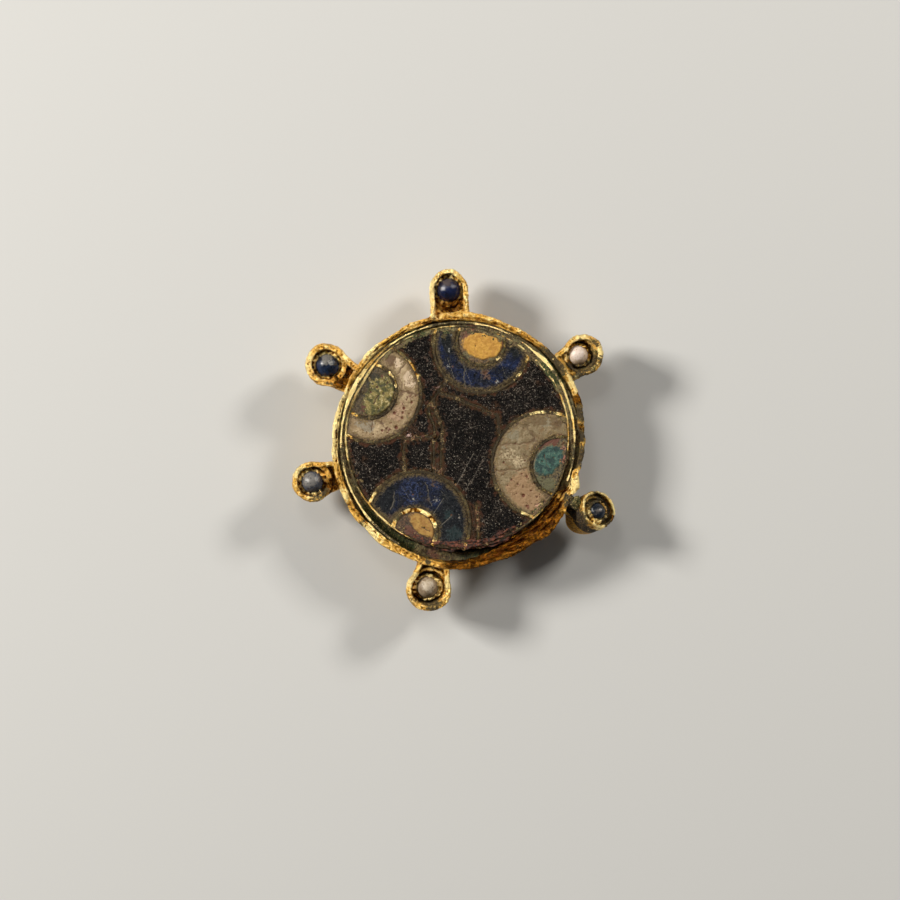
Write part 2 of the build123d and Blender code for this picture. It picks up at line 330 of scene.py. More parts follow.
points = points_of(rim)
azimuth, radius = around(points)
plain = 2.03 - 0.10 * ((9.80 - radius) / 0.3) ** 2
in_lip = (radius > 9.54) & (radius < 9.71) & (points[:, 2] > 1.9)
lip = round_table(azimuth, rim_lip)
points[:, 2] = np.where(in_lip, plain + lip * (points[:, 2] - plain), points[:, 2])
rise = np.clip(points[:, 2] / rim_top, 0, 1)
at_rim = np.clip((radius - 8.2) / 1.0, 0, 1)
outer = round_table(azimuth, rim_edge)
band = round_table(azimuth, rim_edge, 2)
foot = round_table(azimuth, rim_foot)
inward = np.clip((9.975 - radius) / 0.475, 0, 1) * rise ** 2
shift = (outer - 9.98) * rise - (band - 0.475) * inward - foot * (1 - rise)
lift = np.zeros(len(radius))
for fold_azimuth, spread, push, up in rim_folds:
    strength = np.exp(-(turn_from(azimuth, fold_azimuth) / spread) ** 2)
    shift += push * strength * rise ** 3
    lift += up * strength * rise ** 4
# The inner wall's points keep their order from the lip down. They are laid inward and down over the gap, with
# ridges along the rim, and the last of them drop to the floor.
slump = round_table(azimuth, rim_slump) * (radius > 9.41) * (radius < 9.487) * (points[:, 2] < 1.81)
down = (1.8 - points[:, 2]) / 1.4
laid = np.clip(down / 0.7, 0, 1)
dropped = np.clip(down / 0.3 - 7 / 3, 0, 1)
shift -= slump * (0.92 * laid - foot * (1 - rise))
lift += slump * (1.86 - 0.48 * laid - 0.98 * dropped - points[:, 2])
ridges = np.sin(down * 26 + azimuth * 0.35) + 0.7 * np.sin(down * 15 - azimuth * 0.22 + 1)
lift += slump * 0.12 * ridges * np.clip(down / 0.1, 0, 1) * np.clip((0.68 - down) / 0.1, 0, 1)
points[:, :2] *= (1 + at_rim * shift / np.maximum(radius, 0.1))[:, None]
points[:, 2] += at_rim * lift
put_points(rim, points)
upper = at_rim * np.clip((points[:, 2] - 0.4) / 0.9, 0, 1)
beat(rim, [(1.2, 0.16), (0.45, 0.13), (0.20, 0.08)], upper)
beat(rim, [(0.60, 0.22), (0.25, 0.05)], upper * (radius < 9.6) * np.clip(4 * foot, 0, 1))
beat(rim, [(1.6, 0.05)], 1 - upper)


# The gold itself. Hammered gold sheet, pale where it is rubbed, with painted highlights on its crests and at
# the bright spots, painted shade of deep orange and brown in its hollows, dulled to olive and brown where
# soil and green copper salts have stayed on it, and browned in the places given.
class Flow:
    """A socket of a material, so that what happens to it reads as plain sums."""

    def __init__(self, tree, socket=None):
        self.tree = tree
        self.socket = socket

    def node(self, kind, settings, values, out=0):
        made = self.tree.nodes.new(kind)
        for setting, value in settings.items():
            setattr(made, setting, value)
        for name, value in values.items():
            if isinstance(value, Flow):
                self.tree.links.new(value.socket, made.inputs[name])
            else:
                made.inputs[name].default_value = value
        return Flow(self.tree, made.outputs[out])

    def sum(self, operation, first, second):
        return self.node("ShaderNodeMath", {"operation": operation}, {0: first, 1: second})

    def __add__(self, other):
        return self.sum("ADD", self, other)

    def __radd__(self, other):
        return self.sum("ADD", other, self)

    def __sub__(self, other):
        return self.sum("SUBTRACT", self, other)

    def __rsub__(self, other):
        return self.sum("SUBTRACT", other, self)

    def __mul__(self, other):
        return self.sum("MULTIPLY", self, other)

    def __rmul__(self, other):
        return self.sum("MULTIPLY", other, self)

    def most(self, other):
        return self.sum("MAXIMUM", self, other)

    def least(self, other):
        return self.sum("MINIMUM", self, other)

    def step(self, low, high):
        """Rises smoothly from 0 at low to 1 at high, or falls where low is the higher."""
        if low > high:
            return 1 - self.step(high, low)
        smooth = {"interpolation_type": "SMOOTHSTEP"}
        return self.node("ShaderNodeMapRange", smooth, {0: self, 1: low, 2: high})

    def vector(self, operation, other=(0, 0, 0), out=0):
        """Vector Math with this first and the other second."""
        return self.node("ShaderNodeVectorMath", {"operation": operation}, {0: self, 1: other}, out)

    def laid_flat(self):
        return self.vector("MULTIPLY", (1, 1, 0))

    def spun(self, degrees):
        """A place turned about the upright through the middle."""
        spin = {"rotation_type": "Z_AXIS"}
        return self.node("ShaderNodeVectorRotate", spin, {0: self, "Angle": math.radians(degrees)})

    def carried(self, name):
        """A value that the piece's points carry."""
        return self.node("ShaderNodeAttribute", {"attribute_name": name}, {}, 2)

    def grain(self, scale, detail=2.0, roughness=0.5, out=0):
        """Cloudy noise with about this many patches to the millimetre."""
        values = {"Vector": self, "Scale": scale, "Detail": detail, "Roughness": roughness}
        return self.node("ShaderNodeTexNoise", {}, values, out)

    def cells(self, scale):
        """The distance from the middle of the nearest of many cells."""
        return self.node("ShaderNodeTexVoronoi", {}, {"Vector": self, "Scale": scale})

    def near(self, x, y, reach, soft):
        """A round spot at a place on the face, full within reach and gone soft further out."""
        return self.vector("DISTANCE", (x, y, 0), 1).step(reach + soft, reach)

    def tint(self, first, second):
        """Goes from the first colour to the second as this rises from 0 to 1."""
        return self.node("ShaderNodeMix", {"data_type": "RGBA"}, {0: self, 6: first, 7: second}, 2)


def tone(red, green, blue):
    """A colour as the eye reads it, 0 to 255, turned to light."""
    light = [
        part / 3295 if part <= 10 else ((part / 255 + 0.055) / 1.055) ** 2.4
        for part in (red, green, blue)
    ]
    return (*light, 1)


def start_finish(name):
    """A new material, the place on the piece in millimetres, and that place flat and raggedly shifted."""
    material = bpy.data.materials.new(name)
    material.use_nodes = True
    place = Flow(material.node_tree).node("ShaderNodeTexCoord", {}, {}, 3)
    place = place.node("ShaderNodeVectorMath", {"operation": "SCALE"}, {0: place, "Scale": 1000.0})
    flat = place.laid_flat()
    shake = flat.grain(1.7, 4, 0.7, 1).vector("SUBTRACT", (0.5, 0.5, 0.5)).vector("MULTIPLY", (1.5, 1.5, 0))
    return material, place, flat.vector("ADD", shake)


def end_finish(material, colour, roughness, relief, metallic=None):
    """Joins the colour, roughness, relief in millimetres and share of metal to the material's shader."""
    tree = material.node_tree
    shader = tree.nodes["Principled BSDF"]
    bump = colour.node("ShaderNodeBump", {}, {"Strength": 1.0, "Distance": 0.001, "Height": relief})
    flows = {"Base Color": colour, "Roughness": roughness, "Metallic": metallic, "Normal": bump}
    for name, flow in flows.items():
        if flow is not None:
            tree.links.new(flow.socket, shader.inputs[name])
    return shader


def spots(flat, rows):
    """The strongest of several round spots, each given as its place, reach and softness."""
    found = 0.0
    for row in rows:
        found = flat.near(*row).most(found)
    return found


pale_gold = tone(255, 231, 162)
warm_gold = tone(228, 180, 88)
deep_gold = tone(156, 106, 34)
brown_gold = tone(96, 52, 14)
# Soil lies deep everywhere within the rim, and there the lowest soil is painted near black as shade.
sheltered = [(0, 0, 9.45, 0.1)]


def beaten_gold(
    name, dull_spots, rubbed_and_highlight_spots, clean_spots=(), brown_spots=(), *, soil_top, soil_depth, rubbed,
    soiled=0.0, dark=1.35, up=(0, 0, 1), base=0.0, shelter=sheltered,
):
    """
    Gold with soil in what lies below soil_top, its low soil painted near black below the height dark as
    shade, and its edges above the height rubbed worn pale. Heights go along up, from base. The four rows of
    spots say where it is dull, rubbed pale with painted highlights, clear of soil or brown, and shelter
    says where soil lies deep and where the low soil takes the painted shade.
    """
    material, place, flat = start_finish(name)
    height_at = place.vector("DOT_PRODUCT", up, 1) - base
    broad = place.grain(0.8, 3)
    lumps = place.grain(2.6, 4, 0.7)
    fine = place.grain(6.5, 4, 0.75)
    pits = place.grain(4.4, 3, 0.6)
    crest = place.carried("crest")
    dull = spots(flat, dull_spots) * (0.2 + lumps * 0.9 + fine * 0.6)
    # Rubbed, cleaner gold, painted paler as highlights where the light falls.
    rubbed_and_highlight = spots(flat, rubbed_and_highlight_spots)
    clean = spots(flat, clean_spots)
    brown = spots(flat, brown_spots)
    inside = spots(place.laid_flat(), shelter) * height_at.step(0.18, 0.26)
    deep = (height_at + lumps * 0.5).step(soil_top + 0.25, soil_top + 0.25 - soil_depth) * inside
    grit = place.grain(10.0, 3, 0.7)
    soil = lumps * 0.35 + fine * 0.4 + grit * 0.35 + dull * 0.42 + deep * 0.6
    soil = soil - rubbed_and_highlight * 0.25 - clean * 0.6 - crest * 0.10 + soiled
    soil = soil.step(0.64, 0.82) * (0.45 + grit).least(1.0)
    edge = (height_at + lumps * 0.3 + fine * 0.2 - 0.25).step(rubbed - 0.06, rubbed + 0.06)
    # Paler crests, deep orange hollows: painted highlights and shade, mixed with wear and random tone.
    gold = (broad * 0.4 + fine * 0.9 + rubbed_and_highlight * 0.3 - clean * 0.2 + crest * 0.35).step(0.50, 0.82)
    colour = gold.tint(deep_gold, warm_gold)
    paleness = fine * 0.6 + rubbed_and_highlight * 0.4 + broad * 0.3 + edge * 0.25 - clean * 0.3 + crest * 0.25
    colour = paleness.step(0.62, 0.95).tint(colour, pale_gold)
    pitted = (pits * 0.7 + fine * 0.3 - rubbed_and_highlight * 0.06).step(0.56, 0.64)
    browned = (lumps * 0.5 + fine * 0.5).step(0.46, 0.56).tint(tone(48, 28, 6), tone(160, 104, 32))
    colour = (brown * 0.6 + lumps * 0.3 + fine * 0.3 + rubbed_and_highlight * -0.1).step(0.52, 0.80).tint(colour, browned)
    colour = pitted.tint(colour, brown_gold)
    # Hollows go brown: painted shade.
    colour = (crest + fine * 0.8).step(0.15, -0.45).tint(colour, brown_gold)
    dirt = (lumps * 0.3 + fine * 0.7).step(0.42, 0.58).tint(tone(38, 29, 12), tone(94, 80, 34))
    dirt = grit.step(0.54, 0.66).tint(dirt, tone(150, 124, 64))
    dirt = lumps.step(0.53, 0.61).tint(dirt, tone(54, 64, 26))
    dirt = dull.step(0.78, 0.98).tint(dirt, tone(42, 34, 8))
    # Low soil within the shelter is painted near black, as shade in the deep places.
    dirt = ((height_at + lumps * 0.4).step(dark, dark - 0.45) * inside).tint(dirt, tone(20, 15, 8))
    colour = soil.tint(colour, dirt)
    roughness = 0.16 + fine * 0.32 + soil * 0.30
    relief = fine * 0.11 + lumps * 0.12 + grit * 0.05 - pitted * 0.05
    end_finish(material, colour, roughness, relief, (1 - soil * 0.92) * (1 - pitted * 0.4))
    return material


rim_gold = beaten_gold(
    "rim_gold",
    dull_spots=[
        (7.3, 6.3, 1.0, 0.8), (9.5, 2.2, 0.3, 0.9), (9.75, -1.2, 0.6, 0.8), (9.5, 0.5, 0.2, 0.7),
        (8.75, -4.6, 0.3, 0.5), (-7.55, -6.3, 0.1, 0.35), (-9.0, 3.6, 0.15, 0.4), (-2.4, -9.4, 0.1, 0.4),
    ],
    rubbed_and_highlight_spots=[
        (-9.4, 2.3, 0.8, 2.0), (-9.8, -0.2, 0.8, 1.4), (9.13, -3.4, 0.5, 0.3), (-6.9, -7.2, 0.4, 1.0),
        (-1.9, 9.95, 0.25, 0.35), (-6.9, 7.2, 0.3, 1.2), (9.0, 4.5, 0.2, 0.8), (-8.9, -4.2, 0.1, 0.8),
    ],
    clean_spots=[(6.9, -6.9, 0.4, 0.9), (4.9, -8.5, 0.4, 0.9), (2.2, -9.6, 0.8, 1.6)],
    # The brown spots darken and mottle the rim along the bottom and the lower right.
    brown_spots=[
        (1.6, -9.6, 2.2, 1.6), (4.4, -8.4, 1.4, 1.4), (6.6, -6.6, 1.4, 1.2), (4.0, -7.9, 0.6, 0.5),
        (5.2, -7.1, 0.6, 0.5), (6.3, -6.1, 0.6, 0.5), (7.2, -5.0, 0.6, 0.5), (9.4, 3.4, 0.2, 1.0),
        (9.4, 0.8, 0.2, 1.0),
    ],
    # Below 0.9 the soil in the gap within the rim is painted near black, as shade.
    soil_top=0.7, soil_depth=0.5, rubbed=2.08, dark=0.9,
)
hand_over(rim, "rim_and_back", rim_gold, "gold_setting", "setting")


# Inner strip. A thin strip of gold that stands on edge inside the rim and once pressed against the plaque.
# It is open at the bottom of the disc, and at the left its edge is spread flat and rubbed bright, with
# painted highlights.
def polar(azimuth, distance):
    return np.array((distance * math.cos(math.radians(azimuth)), distance * math.sin(math.radians(azimuth))))


def drawn_line(points):
    """A line of edges, drawn out from a point by pulling it on from place to place."""
    piece = fresh(bpy.ops.mesh.primitive_plane_add, size=0.01)
    start_edit(piece)
    bpy.ops.mesh.merge(type="CENTER")
    bpy.ops.transform.translate(value=(points[0][0], points[0][1], 0))
    for start, end in zip(points, points[1:]):
        move = {"value": (end[0] - start[0], end[1] - start[1], 0)}
        bpy.ops.mesh.extrude_region_move(TRANSFORM_OT_translate=move)
    finish_edit()
    return piece


def stand_up(piece, heights, thickness):
    """Raises a line to a strip on edge through a row of heights, and gives it its thickness."""
    start_edit(piece)
    bpy.ops.transform.translate(value=(0, 0, heights[0]))
    for low, high in zip(heights, heights[1:]):
        bpy.ops.mesh.extrude_region_move(TRANSFORM_OT_translate={"value": (0, 0, high - low)})
    finish_edit()
    apply(piece, "SOLIDIFY", thickness=thickness, offset=0.0, use_even_offset=True)
    weld(piece, 0.0005)


strip_reach = [
    # azimuth, radius of the strip's middle
    (-20, 8.98), (0, 9.02), (20, 9.08), (30, 9.21), (42, 9.25), (50, 9.18), (60, 9.26), (75, 9.35),
    (90, 9.33), (120, 9.31), (135, 9.28), (150, 9.24), (180, 9.22), (210, 9.22), (240, 9.24),
]
strip_turns = np.linspace(-20, 240, 560)
strip_line = [polar(angle, np.interp(angle, *zip(*strip_reach))) for angle in strip_turns]
inner_strip = drawn_line(strip_line)
stand_up(inner_strip, [0.3, 0.7, 1.1, 1.3, 1.45, 1.55, 1.63, 1.70, 1.76, 1.81, 1.85], 0.12)
points = points_of(inner_strip)
azimuth, radius = around(points)
azimuth = (azimuth + 90) % 360 - 90
high = np.clip((points[:, 2] - 1.4) / 0.45, 0, 1)
flare = np.exp(-((azimuth - 152) / 12) ** 2) + 0.7 * np.exp(-((azimuth - 46) / 7) ** 2)
away = np.sign(radius - np.interp(azimuth, *zip(*strip_reach)))
points[:, :2] *= (1 + 0.12 * flare * high ** 2 * away / radius)[:, None]
points[:, 2] += 0.06 * high * flare - 0.12 * high * (np.sin(np.radians(azimuth * 3 + 40)) > 0.86)
put_points(inner_strip, points)
beat(inner_strip, [(1.8, 0.14), (0.35, 0.11), (0.15, 0.05)], high)
strip_gold = beaten_gold(
    "strip_gold",
    dull_spots=[
        (-0.6, 9.3, 1.2, 1.5), (4.4, 8.2, 0.4, 1.0), (9.0, -1.2, 0.6, 1.0), (-9.1, -1.2, 0.5, 1.0),
        (-5.6, -7.4, 1.4, 1.4), (7.6, 5.2, 0.3, 0.7),
    ],
    rubbed_and_highlight_spots=[
        (-8.2, 4.2, 0.9, 1.0), (-9.1, 1.8, 0.4, 0.8), (6.1, 6.7, 0.8, 0.7), (8.6, 3.0, 0.4, 1.2),
        (-4.6, 8.1, 0.4, 1.2), (-8.5, -3.5, 0.3, 0.8), (3.3, 8.8, 0.2, 0.6),
    ],
    soil_top=1.25, soil_depth=0.4, rubbed=1.80,
)
hand_over(inner_strip, "inner_strip", strip_gold, "gold_setting", "setting")


# Packed soil. Green copper salts and burial soil fill the space between the rim, the strip and the plaque
# up to near the top. Along the bottom it lies low, and at the lower right the leaning rim's wall is bare.
soil_rings = [(8.55, 0.5), (8.55, 1.2), (8.58, 1.40), (8.66, 1.46)]
soil_rings += [(8.74 + 0.05 * step, 1.5) for step in range(15)]
soil_rings += [(9.5, 1.44), (9.52, 1.3), (9.52, 0.9), (9.5, 0.5)]
first_radius, first_height = soil_rings[0]
packed_soil = fresh(
    bpy.ops.mesh.primitive_circle_add, (0, 0, first_height), vertices=600, radius=first_radius
)
start_edit(packed_soil)
pull_out(soil_rings + soil_rings[:1])
finish_edit()
weld(packed_soil, 0.0005)
points = points_of(packed_soil)
azimuth, radius = around(points)
level = round_table(azimuth, [
    (0, 1.26), (20, 1.30), (45, 1.38), (65, 1.32), (90, 1.28), (150, 1.26), (185, 1.28), (205, 1.18),
    (215, 0.98), (236, 0.80), (248, 0.58), (256, 0.46), (300, 0.42), (325, 0.36), (335, 0.9), (345, 1.05),
])
points[:, 2] = 0.36 + (points[:, 2] - 0.5) * level
lean = round_table(azimuth, rim_foot) * (1 - 0.4 * level)
points[:, :2] *= (1 - lean * np.clip((radius - 8.6) / 0.9, 0, 1) / 9.5)[:, None]
put_points(packed_soil, points)
beat(packed_soil, [(0.7, 0.14), (0.25, 0.14), (0.12, 0.09)])


def soil_look(name, brown, olive, green_spots, red_spots=(), gold_share=0.0):
    """Crumbly soil: brown and olive, greener where copper salts lie, red-brown where it has flaked."""
    material, place, flat = start_finish(name)
    patch = place.grain(1.3, 3)
    lumps = place.grain(3.6, 4, 0.65)
    crumbs = place.grain(8.0, 4, 0.7)
    green = spots(flat, green_spots)
    red = spots(flat, red_spots)
    colour = (patch * 0.4 + lumps * 0.6 + green * 0.3).step(0.46, 0.56).tint(brown, olive)
    colour = (green * 0.55 + lumps * 0.6).step(0.66, 0.84).tint(colour, tone(62, 76, 34))
    colour = (red * 0.5 + lumps * 0.6).step(0.62, 0.84).tint(colour, tone(112, 68, 50))
    glint = (crumbs * 0.7 + place.grain(13.0, 2) * 0.3 + gold_share).step(0.54, 0.62)
    colour = glint.tint(colour, tone(178, 154, 100))
    colour = (crumbs * 0.7 + lumps * 0.3).step(0.48, 0.40).tint(colour, tone(34, 25, 16))
    height_at = place.node("ShaderNodeSeparateXYZ", {}, {0: place}, 2)
    # Low soil goes near black: dark soil with painted shade over it in the deep gap.
    colour = (height_at + lumps * 0.3).step(1.12, 0.75).tint(colour, tone(22, 17, 10))
    end_finish(material, colour, 0.6 + crumbs * 0.3, crumbs * 0.14 + lumps * 0.14 + patch * 0.05)
    return material


soil_finish = soil_look(
    "copper_green_soil", tone(100, 80, 52), tone(124, 116, 78),
    green_spots=[
        (-6.2, -6.6, 1.2, 1.0), (-7.2, -5.6, 0.5, 0.6), (-4.4, -7.8, 0.8, 0.9), (7.4, 5.6, 0.9, 1.0),
        (-3.4, 8.7, 0.4, 1.0), (2.0, -8.8, 1.4, 1.6),
    ],
    red_spots=[(-2.0, -8.6, 0.3, 0.8), (1.0, 9.0, 0.2, 0.6)],
)
hand_over(packed_soil, "packed_soil", soil_finish, None)


# Plaque tray. The enamel plaque has its own gold tray: a floor with a thin rim. Its edge is rubbed bright,
# with painted highlights, in places and dull in the rest, and the bottom edge is corroded to flaky red-brown.
plaque_centre = np.array((-0.10, 0.37))
plaque_radius = 8.76
tray_rings = [(r, 0.38) for r in (1.0, 3.0, 5.0, 7.0, 8.3, 8.6)] + [(8.72, 0.40), (8.755, 0.46)]
tray_rings += [(8.755, h) for h in (0.6, 0.75, 0.9, 1.05, 1.2, 1.33, 1.45, 1.54, 1.6, 1.65)]
tray_rings += [(8.75, 1.69), (8.72, 1.715), (8.68, 1.715), (8.65, 1.69), (8.64, 1.65), (8.64, 1.55)]
tray_rings += [(8.64, 1.2), (8.64, 0.63), (7.0, 0.63), (4.0, 0.63), (1.0, 0.63)]
tray_edge = [
    # azimuth, how far the edge is bent outward
    (0, -0.06), (10, 0.0), (35, -0.04), (46, -0.10), (60, -0.07), (80, -0.03), (130, 0.0), (150, -0.10),
    (165, 0.02), (180, 0.09), (200, 0.04), (225, -0.02), (260, 0.0), (280, -0.05), (300, -0.08), (320, 0.0),
]
tray = turned(tray_rings, 640)
points = points_of(tray)
azimuth, radius = around(points)
edge_up = np.clip((points[:, 2] - 0.9) / 0.7, 0, 1) * (radius > 8.5)
points[:, :2] *= (1 + edge_up * round_table(azimuth, tray_edge) / 8.7)[:, None]
inner = np.clip((8.75 - radius) / 0.11, 0, 1) * np.clip((points[:, 2] - 1.45) / 0.15, 0, 1) * (radius > 8.5)
for middle, spread, wider in ((226, 8, 0.05), (151, 13, 0.10), (328, 7, 0.08), (40, 8, 0.06), (185, 9, 0.06)):
    near = np.exp(-(turn_from(azimuth, middle) / spread) ** 4)
    points[:, :2] *= (1 - near * inner * wider / 8.7)[:, None]
broken = np.clip(np.sin(np.radians(azimuth * 7)) + np.sin(np.radians(azimuth * 17 + 50)), 0, 1)
at_bottom = np.exp(-(turn_from(azimuth, -78) / 22) ** 2)
points[:, 2] -= edge_up * (0.05 * broken + 0.14 * at_bottom * (0.6 + 0.4 * broken))
points[:, :2] += plaque_centre
put_points(tray, points)
beat(tray, [(1.1, 0.07), (0.35, 0.06), (0.14, 0.04)], edge_up)
tray_gold = beaten_gold(
    "tray_gold",
    dull_spots=[
        (-3.6, 8.3, 0.8, 1.2), (1.4, 9.0, 1.2, 1.2), (8.2, -2.2, 1.2, 1.0), (-8.2, -2.6, 0.8, 1.0),
        (3.0, -7.6, 2.6, 1.6), (-2.0, -8.0, 1.6, 1.2), (7.2, -4.4, 1.0, 1.0),
    ],
    rubbed_and_highlight_spots=[
        (-7.6, 4.5, 0.5, 1.0), (-8.8, 1.2, 0.5, 0.8), (-6.2, -6.0, 0.6, 0.7), (6.4, 6.2, 0.7, 0.6),
        (8.3, 2.4, 0.3, 0.6), (-5.3, 7.3, 0.3, 0.8), (-3.9, 8.2, 0.2, 0.5), (5.0, 7.5, 0.2, 0.5),
        (7.3, 5.0, 0.15, 0.4),
    ],
    clean_spots=[(-6.2, -6.0, 0.6, 0.7)],
    brown_spots=[(1.5, -8.2, 2.4, 1.6), (-2.4, -8.0, 0.8, 1.0)],
    soil_top=0.75, soil_depth=0.3, rubbed=1.70, soiled=0.04,
)
hand_over(tray, "plaque_tray", tray_gold, "gold_plaque", "cloison_tray")


# Cloisons. Thin gold strips bent on edge and soldered to the tray's floor, which part the enamel fields: four
# crescents against the edge, a lunette in each, and wavy lines across the dark ground with one gold drop.
crescents = {
    # name: azimuth, distance and radius of the crescent, then of its lunette. Distances and radii are shares
    # of the plaque's radius
    "top": (75.7, 0.851, 0.428, 76.4, 0.883, 0.215),
    "right": (-17.6, 0.817, 0.473, -15.6, 0.956, 0.263),
    "lower_left": (245.1, 0.853, 0.468, 245.4, 0.929, 0.196),
    "upper_left": (152.7, 0.861, 0.437, 152.5, 0.892, 0.243),
}
ground_lines = [
    [
        (-0.096, 0.519), (-0.185, 0.395), (-0.048, 0.363), (0.131, 0.288), (0.210, 0.261), (0.270, 0.220),
        (0.354, 0.204), (0.362, 0.172), (0.374, -0.007),
    ],
    [
        (-0.185, 0.395), (-0.212, 0.342), (-0.262, 0.288), (-0.251, 0.193), (-0.214, 0.121), (-0.207, 0.054),
        (-0.208, 0.005), (-0.215, -0.113), (-0.209, -0.332),
    ],
    [
        (-0.212, 0.342), (-0.207, 0.273), (-0.179, 0.185), (-0.147, 0.113), (-0.140, 0.054), (-0.140, -0.024),
        (-0.150, -0.159), (-0.154, -0.356),
    ],
    [(-0.208, 0.005), (-0.292, 0.007), (-0.398, -0.007), (-0.466, -0.016), (-0.516, 0.037)],
    [(-0.466, -0.016), (-0.484, -0.131), (-0.471, -0.322)],
    [(0.168, -0.604), (0.177, -0.740), (0.188, -0.990)],
]
strip_heights = [0.6, 1.1, 1.4, 1.5, 1.57, 1.62, 1.66]
ground_heights = [0.6, 1.1, 1.4, 1.5, 1.57, 1.585]
ground_width = 0.13
strip_step = 0.07
tray_rim = 8.68


def arc_points(azimuth, distance, radius):
    """The part of a round strip that lies within the tray's rim."""
    middle = polar(azimuth, distance * plaque_radius)
    radius = radius * plaque_radius
    away = distance * plaque_radius
    meets = math.acos((tray_rim ** 2 - away ** 2 - radius ** 2) / (2 * away * radius))
    count = max(12, int(radius * (2 * math.pi - 2 * meets) / strip_step))
    turns = np.linspace(meets, 2 * math.pi - meets, count)
    return [middle + polar(azimuth + math.degrees(turn), radius) + plaque_centre for turn in turns]


def inside_crescent(point):
    for azimuth, distance, radius, *_ in crescents.values():
        away = np.array(point) * plaque_radius - polar(azimuth, distance * plaque_radius)
        if np.hypot(*away) < radius * plaque_radius:
            return True
    return False


def wavy_points(line):
    """A ground line in short steps, its corners eased, without what a crescent hides."""
    corners = np.array(line)
    runs = np.hypot(*np.diff(corners, axis=0).T) * plaque_radius
    along = np.concatenate(([0], np.cumsum(runs)))
    places = np.linspace(0, along[-1], max(8, int(along[-1] / strip_step)))
    x = np.interp(places, along, corners[:, 0])
    y = np.interp(places, along, corners[:, 1])
    for _ in range(3):
        x[1:-1] = (x[:-2] + 2 * x[1:-1] + x[2:]) / 4
        y[1:-1] = (y[:-2] + 2 * y[1:-1] + y[2:]) / 4
    kept = [(a, b) for a, b in zip(x, y) if not inside_crescent((a, b))]
    return [np.array(point) * plaque_radius + plaque_centre for point in kept]


def joined(parts):
    bpy.ops.object.select_all(action="DESELECT")
    for part in parts:
        part.select_set(True)
    bpy.context.view_layer.objects.active = parts[0]
    bpy.ops.object.join()
    return bpy.context.active_object


def ease(piece, width, segments, sharper=60):
    """Rounds the edges that turn by more than this many degrees."""
    limit = math.radians(sharper)
    apply(piece, "BEVEL", width=width, segments=segments, limit_method="ANGLE", angle_limit=limit)


arcs = [arc_points(*row[part:part + 3]) for row in crescents.values() for part in (0, 3)]
waves = [wavy_points(line) for line in ground_lines]
# The strip round the lower left lunette shows widest.
widths = [0.20] * 5 + [0.30] + [0.20] * 2
strip_pieces = []
for line, width in zip(arcs, widths):
    strip = drawn_line(line)
    stand_up(strip, strip_heights, width)
    strip_pieces.append(strip)
for line in waves:
    strip = drawn_line(line)
    stand_up(strip, ground_heights, ground_width)
    strip_pieces.append(strip)
drop = {"segments": 28, "ring_count": 18, "radius": 0.2}
strip_pieces.append(
    fresh(bpy.ops.mesh.primitive_uv_sphere_add, (-1.92, 0.41, 1.5), (1.0, 0.9, 1.1), **drop)
)
cloisons = joined(strip_pieces)
ease(cloisons, 0.03, 2)
top_part = np.clip((points_of(cloisons)[:, 2] - 1.2) / 0.3, 0, 1)
beat(cloisons, [(0.9, 0.10), (0.30, 0.07), (0.13, 0.03)], top_part)
cloison_gold = beaten_gold(
    "cloison_gold",
    dull_spots=[(-0.1, 0.37, 7.4, 1.4)],
    rubbed_and_highlight_spots=[
        (-4.35, 5.8, 0.6, 0.4), (-3.75, 4.8, 0.3, 0.4), (-5.3, 5.2, 0.3, 0.4), (-4.9, 4.4, 0.15, 0.3),
        (-3.9, -5.3, 0.5, 0.4), (-2.6, -5.6, 0.5, 0.4), (-1.9, -6.4, 0.3, 0.3), (-6.9, -4.4, 0.45, 0.3),
        (6.6, 2.35, 0.8, 0.5), (4.5, 5.0, 0.35, 0.4), (-1.92, 0.41, 0.2, 0.15), (5.2, -5.6, 0.1, 0.4),
        (3.1, 6.5, 0.1, 0.4), (-2.6, 1.8, 0.1, 0.5), (-2.3, 2.9, 0.1, 0.4),
    ],
    clean_spots=[(-3.0, -5.6, 1.2, 0.5), (-4.2, 5.4, 0.7, 0.5), (-6.9, -4.4, 0.45, 0.3)],
    brown_spots=[(-0.1, 0.37, 3.0, 3.0)],
    soil_top=1.35, soil_depth=0.15, rubbed=1.67, soiled=0.09,
)
hand_over(cloisons, "cloisons", cloison_gold, "gold_plaque", "cloison_tray")


# Soil in the seams. Soil and corrosion have grown over the strips and the edges of the enamel, so that most
# of the strips hardly show. It is a low crust along every strip and round the plaque's edge, broken open in
# places.
crust_top = 1.575
crust_limit = 1.74


def fuse(piece, grain):
    """Melts a piece's parts into one skin, in steps of this size."""
    apply(piece, "REMESH", mode="VOXEL", voxel_size=grain, adaptivity=0.0)


def crust_along(rows):
    """A crust along lines, each with its width."""
    parts = []
    for line, width in rows:
        part = drawn_line(line)
        stand_up(part, [1.40, 1.50, crust_top], width)
        parts.append(part)
    crust = joined(parts)
    fuse(crust, grain=0.072)
    beat(crust, [(0.9, 0.12)])
    points = points_of(crust)
    x, y, _ = points.T
    thin = np.sin(x * 2.1 + 1.3 * np.sin(y * 1.7)) + np.sin(y * 2.6 + x * 0.9)
    points[:, 2] -= 0.15 * np.clip(thin - 0.1, 0, 1)
    put_points(crust, points)
    beat(crust, [(0.30, 0.28), (0.14, 0.18)])
    points = points_of(crust)
    points[:, 2] = np.minimum(points[:, 2], crust_limit)
    put_points(crust, points)
    return crust


